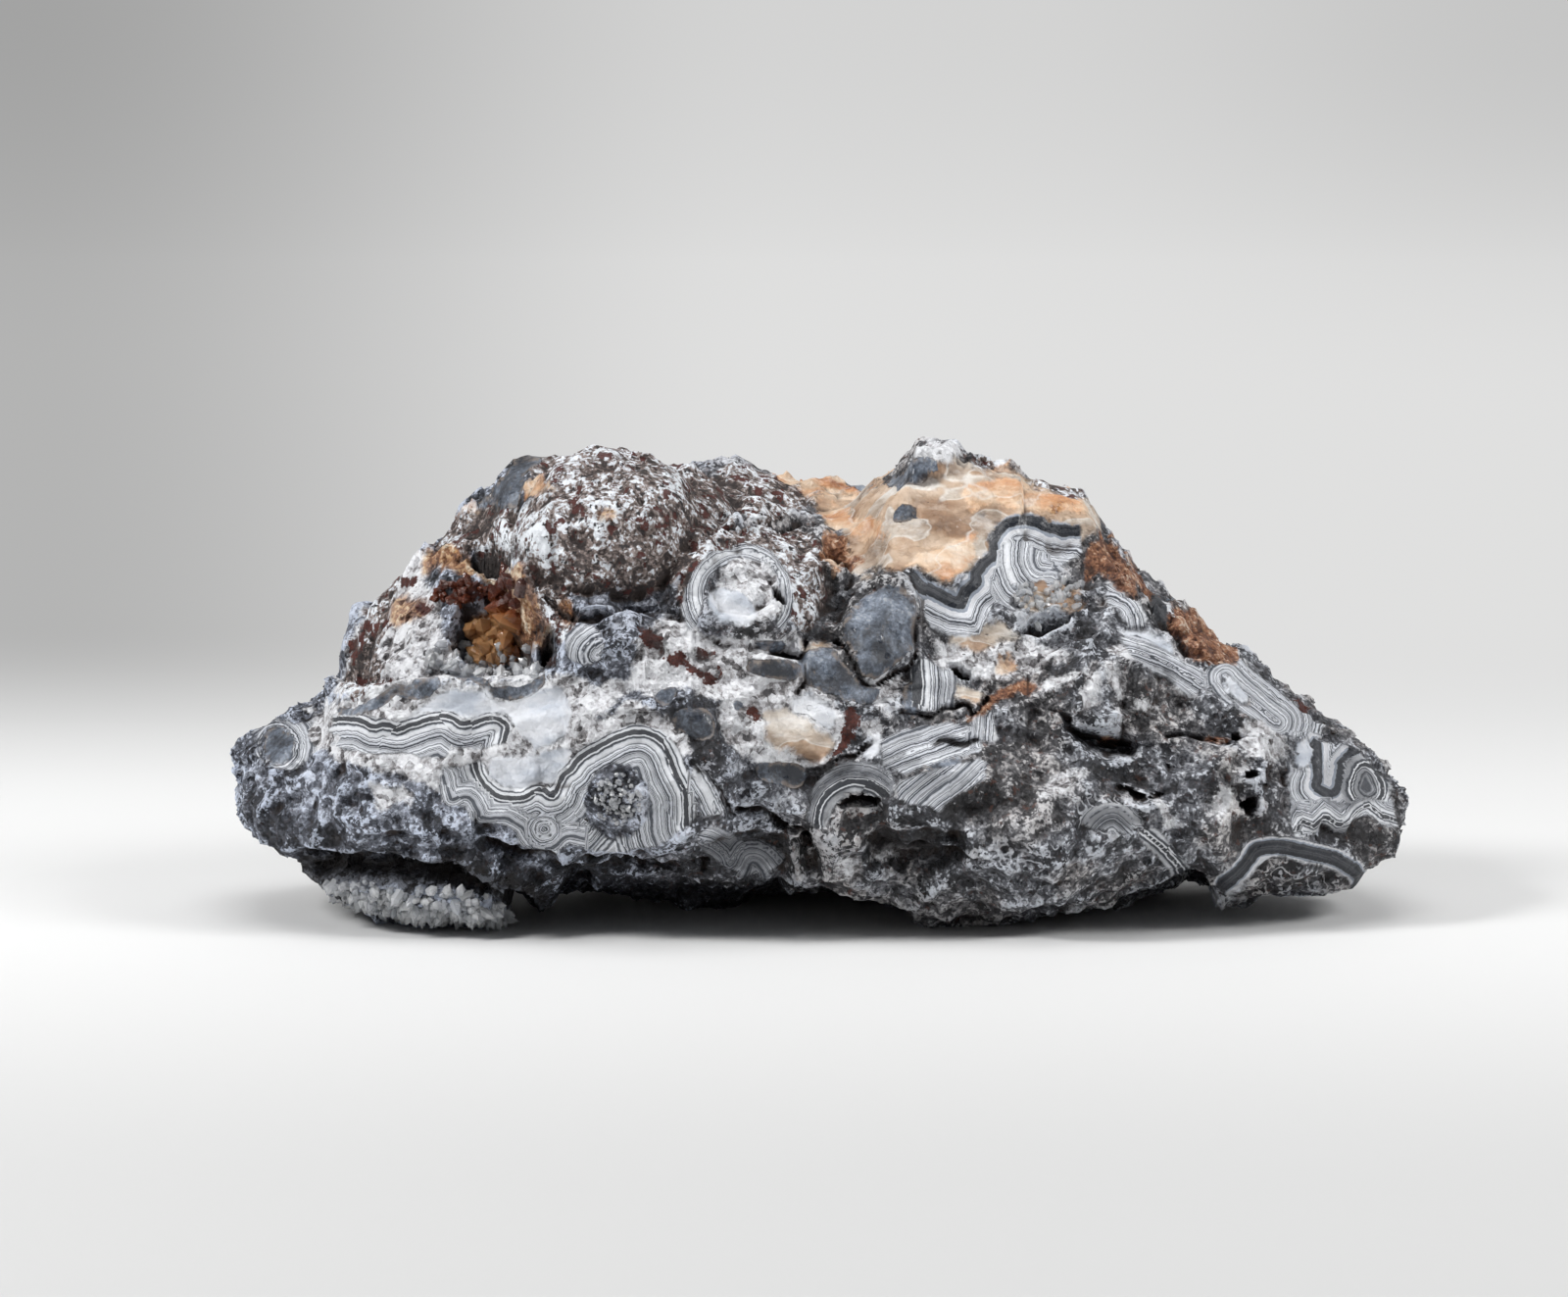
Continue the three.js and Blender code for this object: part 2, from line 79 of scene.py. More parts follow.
CREST = [
    (-58.4, 13.0), (-57.2, 16.4), (-54.9, 19.0), (-49.0, 21.4), (-47.6, 25.6), (-46.6, 28.8), (-45.6, 31.8),
    (-42.6, 35.2), (-37.9, 39.0), (-33.6, 41.6), (-31.0, 43.4), (-26.5, 44.4), (-22.5, 44.4), (-18.7, 43.8),
    (-12.4, 42.2), (-7.3, 41.6), (-1.4, 40.2), (3.7, 41.0), (7.4, 43.2), (10.0, 46.0), (13.9, 45.8),
    (18.2, 43.0), (27.0, 40.6), (29.4, 37.6), (32.3, 33.4), (36.6, 30.2), (41.4, 26.8), (47.6, 20.8),
    (51.9, 16.4), (55.6, 13.8), (57.4, 12.0), (58.4, 9.9),
]
FRONT_UNDERSIDE = [
    (-58.4, 11.0), (-57.2, 8.8), (-55.2, 7.0), (-53.0, 5.4), (-50.4, 4.2), (-45.0, 2.4), (-33.9, 0.8),
    (-25.3, 3.0), (-10.4, 2.0), (0.6, 2.4), (7.6, 2.0), (12.3, 0.6), (26.1, 0.4), (32.7, 4.0), (37.4, 5.4),
    (40.6, 1.2), (54.2, 1.4), (56.2, 5.0), (58.4, 9.5),
]
BACK_UNDERSIDE = [
    (-58.4, 11.0), (-50.0, 6.0), (-38.0, 3.5), (-24.0, 1.2), (-12.0, -0.4), (26.0, -0.4), (38.0, 2.5),
    (50.0, 5.5), (58.4, 9.5),
]
FRONT_REACH = [
    (-58.4, -3.0), (-57.0, -9.0), (-52.0, -16.0), (-44.0, -22.0), (-30.0, -25.5), (-15.0, -26.5),
    (5.0, -25.5), (22.0, -25.0), (36.0, -22.0), (48.0, -17.0), (55.0, -11.5), (58.4, -3.0),
]
BACK_REACH = [
    (-58.4, 2.5), (-56.5, 7.5), (-50.0, 13.0), (-38.0, 18.0), (-24.0, 22.8), (-8.0, 25.4), (10.0, 24.6),
    (26.0, 21.6), (40.0, 16.5), (52.0, 9.5), (58.4, 2.0),
]
SPINE_HEIGHT = [(-41.0, 14.0), (-20.0, 18.0), (20.0, 18.0), (41.0, 12.0)]

# Flat breaks: the way each one faces, and how far along that way it lies
BREAKS = [
    ((0.22, -0.78, 0.58), 33.0),
    ((0.72, -0.2, 0.66), 52.8),
    ((0.3, 0.86, 0.42), 34.5),
    ((-0.42, 0.82, 0.38), 35.5),
    ((0.1, 0.62, 0.78), 42.5),
    ((-0.66, 0.3, 0.69), 51.5),
    ((0.1, 0.8, -0.6), 19.5),
]

# Domes and lumps of the broken face: middle and half sizes on the map, turn in degrees, and rise
FACE_DOMES = {
    "big speckled dome": ((622, 545), (98, 68), -4, 5.0),
    "ringed nodule": ((762, 598), (82, 66), 8, 3.6),
    "small top dome": ((775, 498), (50, 34), 10, 2.2),
    "saddle dome": ((700, 515), (55, 34), 0, 2.4),
    "back top dome": ((612, 475), (84, 24), 0, 1.6),
    "dark corner lump": ((533, 493), (30, 34), 0, 2.2),
    "grey banded lump": ((617, 657), (46, 32), -12, 2.0),
    "blue-grey oval": ((898, 645), (42, 55), 12, 2.4),
    "slate nodule": ((858, 690), (42, 32), 20, 1.4),
    "slate pebble": ((788, 684), (30, 14), 5, 1.2),
    "blue-grey pebble": ((709, 737), (24, 22), 0, 1.2),
    "top knob": ((946, 464), (36, 24), -10, 2.0),
    "cream shoulder": ((1060, 505), (80, 42), 12, 2.0),
    "right rough boss": ((1115, 702), (66, 44), 0, 2.2),
    "right ridge": ((1255, 705), (70, 42), 30, 1.2),
    "right tip": ((1375, 822), (66, 74), 0, 1.0),
    "low right bulge": ((1110, 860), (110, 66), 0, 1.5),
    "low middle bulge": ((955, 885), (120, 50), 0, 1.4),
    "lace boss": ((620, 800), (140, 90), 0, 1.8),
    "left lobe": ((370, 800), (140, 96), 8, 1.0),
    "plate fan": ((965, 790), (52, 44), -30, 1.0),
    "low middle ledge": ((700, 892), (150, 30), 0, 1.0),
    "crystal shelf": ((436, 900), (136, 38), 6, 2.0),
}

# Lumps of the back: middle and half sizes, and rise
BACK_LUMPS = {
    "back boss": ((-14, 25, 24), (17, 16, 14), 4.0),
    "back right boss": ((20, 24, 14), (14, 14, 11), 3.4),
    "back left boss": ((-40, 14, 22), (13, 14, 12), 3.0),
    "top back knob": ((-4, 14, 42), (10, 9, 9), 2.6),
    "back low lump": ((-30, 22, 9), (12, 12, 8), 2.6),
    "right back lump": ((44, 12, 14), (12, 12, 10), 2.8),
}

# Hollows of the broken face: outline on the map, width of the rim there, and depth
HOLLOWS = {
    "upper left recess": (
        [(310, 706), (320, 640), (350, 580), (400, 530), (450, 510), (500, 500), (524, 540), (530, 590),
         (562, 622), (576, 660), (574, 690), (500, 700), (456, 694), (404, 704)], 24, 4.5),
    "crystal pocket": (
        [(440, 612), (462, 572), (500, 546), (522, 560), (532, 600), (552, 630), (562, 682), (524, 690),
         (484, 684), (452, 652)], 22, 9.0),
    "dark hole": ([(484, 560), (500, 546), (522, 556), (526, 580), (506, 590), (488, 580)], 14, 11.0),
    "ringed opening": (
        [(712, 606), (724, 584), (752, 572), (780, 580), (797, 604), (792, 634), (766, 646), (730, 644)],
         10, 1.5),
    "saddle under the cream": (
        [(822, 506), (850, 494), (900, 500), (918, 540), (905, 585), (872, 598), (842, 570)], 26, 2.6),
    "slit": ([(780, 664), (800, 660), (822, 666), (818, 676), (792, 676)], 8, 3.0),
    "gap under the zigzag": (
        [(1036, 640), (1048, 628), (1076, 624), (1098, 630), (1090, 644), (1060, 654), (1040, 650)], 10, 4.5),
    "brown pit": (
        [(1082, 738), (1112, 742), (1150, 744), (1168, 758), (1160, 776), (1128, 780), (1104, 768)], 14, 4.0),
    "arched gap": ([(850, 826), (862, 812), (880, 808), (896, 814), (898, 826), (874, 824)], 8, 4.0),
    "dark cave": (
        [(872, 850), (900, 834), (944, 832), (984, 842), (994, 866), (976, 888), (920, 892), (884, 880)],
         18, 3.2),
    "step beside the cave": ([(804, 858), (822, 850), (840, 862), (842, 890), (822, 896), (810, 880)],
        12, 2.4),
    "undercut of the middle": (
        [(566, 884), (640, 866), (706, 852), (760, 840), (806, 848), (818, 880), (800, 930), (560, 940)],
         16, 2.2),
    "gap above the crystal shelf": (
        [(272, 866), (330, 858), (398, 864), (470, 878), (536, 896), (572, 924), (540, 934), (500, 908),
         (440, 894), (380, 888), (330, 896), (290, 888)], 12, 5.0),
    "notch in the lower edge": ([(1196, 930), (1204, 884), (1226, 880), (1240, 900), (1236, 930)], 12, 3.0),
}


def oval(x, y, half_x, half_y, turn=0.0):
    """A closed outline on the map: an ellipse of 14 points, turned clockwise by some degrees."""
    angle = np.arange(14) / 14 * 2 * math.pi
    c, s = math.cos(math.radians(turn)), math.sin(math.radians(turn))
    right, down = half_x * np.cos(angle), half_y * np.sin(angle)
    return np.column_stack([x + right * c - down * s, y + right * s + down * c])


def ring(x, y, half_x, half_y, turn=0.0):
    """An oval as a line that ends on its first point."""
    outline = oval(x, y, half_x, half_y, turn)
    return np.vstack([outline, outline[:1]])


# Finishes of the broken face, and patches of dark rock and painted shade: the outlines on the map of the
# patches that have each one
PATCHES = {
    "chalk": [
        [(560, 690), (600, 700), (640, 690), (654, 650), (676, 622), (700, 624), (716, 648), (760, 652),
         (830, 650), (850, 700), (868, 735), (862, 760), (840, 782), (800, 790), (760, 775), (735, 750),
         (735, 715), (700, 705), (640, 712), (604, 730), (585, 760), (572, 740), (580, 715)],
        [(585, 768), (590, 745), (604, 732), (640, 718), (674, 722), (694, 745), (702, 772), (692, 775),
         (678, 757), (655, 744), (625, 752), (600, 768)],
        [(338, 704), (352, 660), (366, 630), (378, 600), (395, 585), (420, 564), (440, 560), (432, 590),
         (444, 610), (452, 640), (462, 662), (480, 678), (540, 684), (566, 690), (540, 698), (480, 694),
         (440, 700), (370, 714)],
        [(884, 692), (900, 686), (924, 694), (922, 714), (902, 722), (886, 714)],
        [(878, 734), (896, 730), (906, 744), (896, 760), (880, 754)],
        [(955, 652), (990, 648), (1034, 656), (1072, 660), (1062, 684), (1020, 694), (984, 690), (960, 678)],
        [(318, 722), (360, 706), (440, 696), (520, 692), (600, 692), (612, 720), (600, 760), (580, 790),
         (560, 814), (500, 818), (470, 802), (450, 788), (430, 798), (390, 792), (340, 774), (314, 762)],
        oval(866, 880, 14, 11), oval(1288, 757, 24, 22, 20), oval(1190, 826, 7, 22, -35),
        oval(1085, 800, 26, 9, -20), oval(905, 868, 22, 9, 15), oval(1112, 702, 9, 26, 16),
        oval(955, 464, 26, 14), oval(440, 790, 44, 12, 10), oval(1250, 818, 12, 20),
        oval(1160, 668, 30, 9, 22), oval(1076, 696, 22, 7, -20), oval(1140, 690, 8, 20, -12),
        oval(1172, 716, 16, 7, 30), oval(1206, 694, 9, 22, -40), oval(768, 600, 40, 36),
        oval(404, 606, 28, 26, -30), oval(446, 664, 28, 12), oval(330, 742, 40, 7, -6),
        oval(395, 812, 24, 12, 10), oval(690, 560, 24, 14, 30), oval(1060, 668, 30, 10),
    ],
    "cream": [
        [(826, 510), (850, 498), (905, 490), (930, 480), (975, 470), (1010, 475), (1060, 485),
         (1105, 500), (1126, 525), (1122, 548), (1100, 552), (1060, 546), (1036, 550), (1016, 556),
         (1000, 572), (985, 590), (972, 602), (950, 592), (926, 582), (900, 580), (880, 592), (862, 586),
         (868, 560), (850, 540)],
        [(778, 730), (796, 720), (814, 728), (832, 742), (848, 746), (850, 760), (842, 774), (828, 780),
         (812, 770), (796, 766), (782, 752)],
        [(816, 655), (840, 652), (846, 664), (826, 674)],
        [(1030, 600), (1060, 590), (1100, 592), (1104, 616), (1080, 628), (1046, 624)],
        [(960, 626), (1000, 640), (1026, 640), (1040, 656), (1000, 668), (966, 652)],
        [(940, 700), (960, 694), (984, 700), (1004, 712), (996, 724), (972, 718), (950, 720)],
    ],
    "peach": [
        [(978, 500), (1000, 488), (1040, 486), (1080, 492), (1108, 506), (1110, 524), (1070, 524),
         (1020, 516), (990, 520)],
        [(832, 522), (852, 514), (872, 520), (866, 540), (844, 538)],
        [(925, 578), (950, 560), (975, 548), (996, 545), (994, 565), (984, 585), (970, 596), (950, 588)],
        [(820, 504), (850, 492), (888, 482), (906, 488), (880, 500), (840, 508)],
        [(840, 545), (866, 552), (872, 572), (852, 590), (838, 570)],
        oval(885, 540, 22, 14, 10), oval(552, 500, 18, 13), oval(487, 532, 22, 7, -20),
        oval(1016, 474, 18, 8, 10), oval(1028, 678, 14, 8),
    ],
    "speckled": [
        oval(622, 545, 100, 66, -4), oval(775, 497, 52, 34, 10), oval(700, 512, 60, 34),
        oval(620, 474, 88, 24),
        [(690, 600), (700, 570), (720, 545), (760, 538), (810, 543), (840, 560), (842, 595), (838, 628),
         (815, 644), (800, 625), (797, 592), (774, 566), (742, 563), (714, 583), (706, 612), (690, 625)],
        oval(370, 680, 20, 32, 20), oval(392, 602, 16, 22, 25), oval(1010, 470, 22, 9),
        oval(1080, 495, 36, 10, 10), oval(480, 545, 40, 14, -25), oval(1195, 625, 14, 14),
        oval(1240, 654, 30, 14, 30),
        [(504, 504), (532, 508), (530, 550), (528, 580), (500, 572), (470, 552), (484, 524)],
        [(526, 556), (550, 576), (580, 604), (592, 628), (588, 652), (566, 656), (548, 626), (530, 600)],
        oval(384, 626, 16, 28, 15),
    ],
    "slate": [
        [(762, 682), (770, 674), (790, 674), (818, 678), (820, 690), (802, 695), (780, 691), (764, 687)],
        [(762, 660), (776, 653), (798, 655), (804, 663), (782, 664)],
        [(820, 664), (840, 660), (860, 682), (880, 697), (902, 704), (888, 717), (866, 717), (845, 707),
         (826, 700), (818, 686)],
        [(866, 620), (880, 604), (900, 597), (922, 598), (936, 612), (938, 636), (930, 662), (912, 684),
         (897, 696), (880, 688), (866, 672), (858, 655)],
        oval(709, 738, 22, 19), oval(796, 790, 26, 14, 12), oval(839, 733, 9, 9), oval(825, 721, 4, 4),
        oval(825, 733, 3.5, 3.5), oval(755, 723, 5, 5), oval(680, 711, 7, 7),
        [(466, 530), (480, 522), (500, 508), (510, 480), (525, 468), (557, 463), (545, 480), (535, 495),
         (530, 512), (500, 520)],
        [(902, 494), (915, 478), (930, 468), (962, 470), (963, 482), (945, 490), (920, 497)],
        [(913, 534), (922, 514), (942, 514), (940, 534)], oval(1197, 607, 8, 8), oval(954, 773, 34, 9, 8),
        oval(283, 760, 18, 20),
        [(343, 721), (375, 715), (404, 707), (428, 697), (444, 690), (447, 700), (432, 709), (406, 718),
         (377, 726), (344, 731)],
        [(456, 683), (480, 685), (496, 689), (508, 701), (520, 703), (540, 697), (560, 689), (561, 700),
         (542, 710), (520, 716), (506, 712), (494, 699), (478, 693), (456, 691)],
        oval(932, 716, 10, 20, -10),
    ],
    "gel": [
        [(448, 704), (477, 700), (504, 700), (511, 716), (528, 714), (552, 704), (576, 704), (587, 723),
         (582, 747), (568, 760), (547, 766), (528, 752), (520, 736), (509, 728), (488, 731), (474, 735),
         (461, 728), (440, 726), (424, 726), (432, 712)],
        [(500, 772), (540, 768), (572, 766), (590, 764), (574, 790), (562, 806), (548, 798), (532, 804),
         (512, 802), (498, 790)],
        oval(745, 620, 26, 20, 20), oval(1329, 768, 12, 14), oval(993, 611, 9, 12), oval(1010, 590, 10, 8),
        oval(1261, 706, 20, 7, 46),
        oval(890, 765, 8, 14, 30), oval(1172, 652, 28, 10, 22),
        [(806, 708), (830, 704), (850, 714), (858, 730), (850, 744), (832, 742), (818, 730), (804, 726)],
    ],
    "rust": [
        [(1104, 564), (1122, 550), (1136, 548), (1148, 567), (1157, 585), (1171, 600), (1184, 610),
         (1171, 611), (1157, 602), (1142, 596), (1130, 587), (1119, 581), (1104, 587)],
        [(1193, 628), (1210, 622), (1227, 619), (1242, 626), (1248, 638), (1265, 650), (1271, 666),
         (1259, 675), (1236, 678), (1218, 675), (1210, 660), (1195, 646)],
        [(982, 740), (998, 728), (1010, 712), (1024, 701), (1048, 696), (1064, 702), (1040, 710), (1024, 716),
         (1008, 732)],
        oval(1128, 756, 12, 6, 10), oval(1240, 755, 16, 3, 8), oval(852, 560, 14, 14), oval(870, 575, 12, 10),
    ],
    "red": [
        oval(722, 693, 8, 8), oval(716, 672, 7, 6), oval(689, 675, 6, 8), oval(663, 652, 12, 12),
        oval(768, 728, 7, 8), [(864, 724), (882, 726), (873, 744), (860, 766), (846, 782), (853, 760),
        (861, 744)], oval(704, 682, 18, 3, 50), oval(730, 676, 3, 13, -15), oval(672, 664, 20, 4, 35),
        oval(559, 670, 8, 11), oval(392, 698, 10, 4), oval(478, 606, 22, 9), oval(398, 634, 7, 6),
        oval(416, 594, 8, 6), oval(380, 640, 6, 8), oval(432, 620, 7, 5), oval(362, 662, 6, 9),
    ],
    "amber": [
        [(424, 572), (436, 556), (470, 556), (494, 578), (520, 584), (538, 597), (528, 606), (498, 595),
         (470, 586), (440, 582), (428, 590)],
        [(510, 576), (536, 580), (552, 606), (560, 640), (552, 668), (530, 660), (512, 640), (506, 608)],
        [(471, 628), (500, 626), (530, 650), (544, 668), (540, 682), (506, 678), (484, 664)],
        oval(418, 622, 20, 18), oval(578, 620, 9, 13), oval(622, 528, 13, 9, 20), oval(1078, 519, 10, 9),
        oval(440, 540, 16, 6, -25),
    ],
    "dull": [
        oval(672, 562, 58, 50, -10), oval(590, 594, 50, 18), oval(744, 506, 46, 12, 10),
        oval(806, 478, 22, 20), oval(836, 566, 18, 36), oval(508, 540, 26, 30),
        oval(470, 546, 34, 12, -25), oval(372, 672, 26, 34, 20),
        [(528, 556), (560, 586), (592, 620), (592, 652), (564, 650), (544, 616)],
    ],
    # Dark patches: partly dark rock, partly painted shade on the undersides, in the caves, holes and pocket,
    # and on lit slate nodules
    "dark": [
        [(250, 852), (300, 862), (400, 858), (470, 860), (520, 866), (560, 880), (640, 872), (720, 880),
         (800, 894), (850, 902), (850, 940), (560, 940), (470, 900), (390, 894), (300, 886), (250, 870)],
        [(872, 842), (900, 830), (944, 830), (990, 842), (1000, 868), (976, 892), (920, 894), (880, 884)],
        [(820, 846), (822, 808), (840, 786), (870, 776), (906, 782), (916, 800), (880, 802), (850, 826),
         (846, 846)],
        oval(1046, 748, 30, 14), oval(1150, 800, 60, 16, 10), oval(1240, 800, 30, 20),
        oval(760, 872, 50, 20), oval(1092, 700, 20, 34), oval(1165, 712, 26, 16), oval(630, 813, 22, 26),
        oval(1000, 820, 50, 20, -20), oval(478, 604, 34, 16), oval(700, 520, 40, 10),
        oval(1380, 850, 44, 12), oval(1372, 892, 22, 10), oval(430, 914, 112, 24, 6),
        oval(512, 496, 52, 38), oval(1374, 796, 36, 34), oval(300, 846, 60, 22, 20),
        oval(1132, 834, 36, 16), oval(1190, 870, 40, 12, 48), oval(548, 606, 16, 50, -25),
        oval(306, 872, 34, 12, 20), oval(756, 868, 50, 22), oval(790, 684, 36, 14),
        oval(862, 692, 40, 28), oval(796, 790, 36, 20), oval(709, 738, 32, 30),
    ],
    "looped": [
        [(1262, 916), (1276, 892), (1288, 880), (1300, 876), (1336, 882), (1370, 892), (1384, 908),
         (1350, 922), (1300, 922)],
        [(1096, 812), (1168, 812), (1176, 850), (1110, 856)], oval(840, 864, 36, 14), oval(1040, 868, 50, 18),
        oval(610, 656, 38, 22, -12),
    ],
    # The darkest patches: dark rock, and painted shade in the underside above the crystal shelf, the cave,
    # the pocket's holes and the brown pit
    "black": [
        [(262, 862), (300, 872), (360, 870), (420, 872), (470, 876), (520, 888), (552, 904), (574, 930),
         (540, 934), (506, 914), (474, 904), (451, 910), (420, 908), (389, 903), (345, 903), (300, 896)],
        [(880, 856), (902, 846), (930, 852), (944, 845), (962, 852), (952, 864), (924, 872), (900, 868)],
        oval(506, 564, 26, 14, -6), oval(556, 660, 12, 26, 8), oval(1134, 764, 16, 5, 10),
        oval(672, 660, 8, 8), oval(712, 674, 11, 6, 20),
    ],
}

# Rounds inside the lace that its layers leave free
LACE_WINDOWS = [
    oval(630, 818, 33, 38), oval(283, 760, 17, 19), oval(1327, 768, 13, 15), oval(1050, 606, 20, 8, -30),
    oval(1261, 706, 19, 6, 46),
]

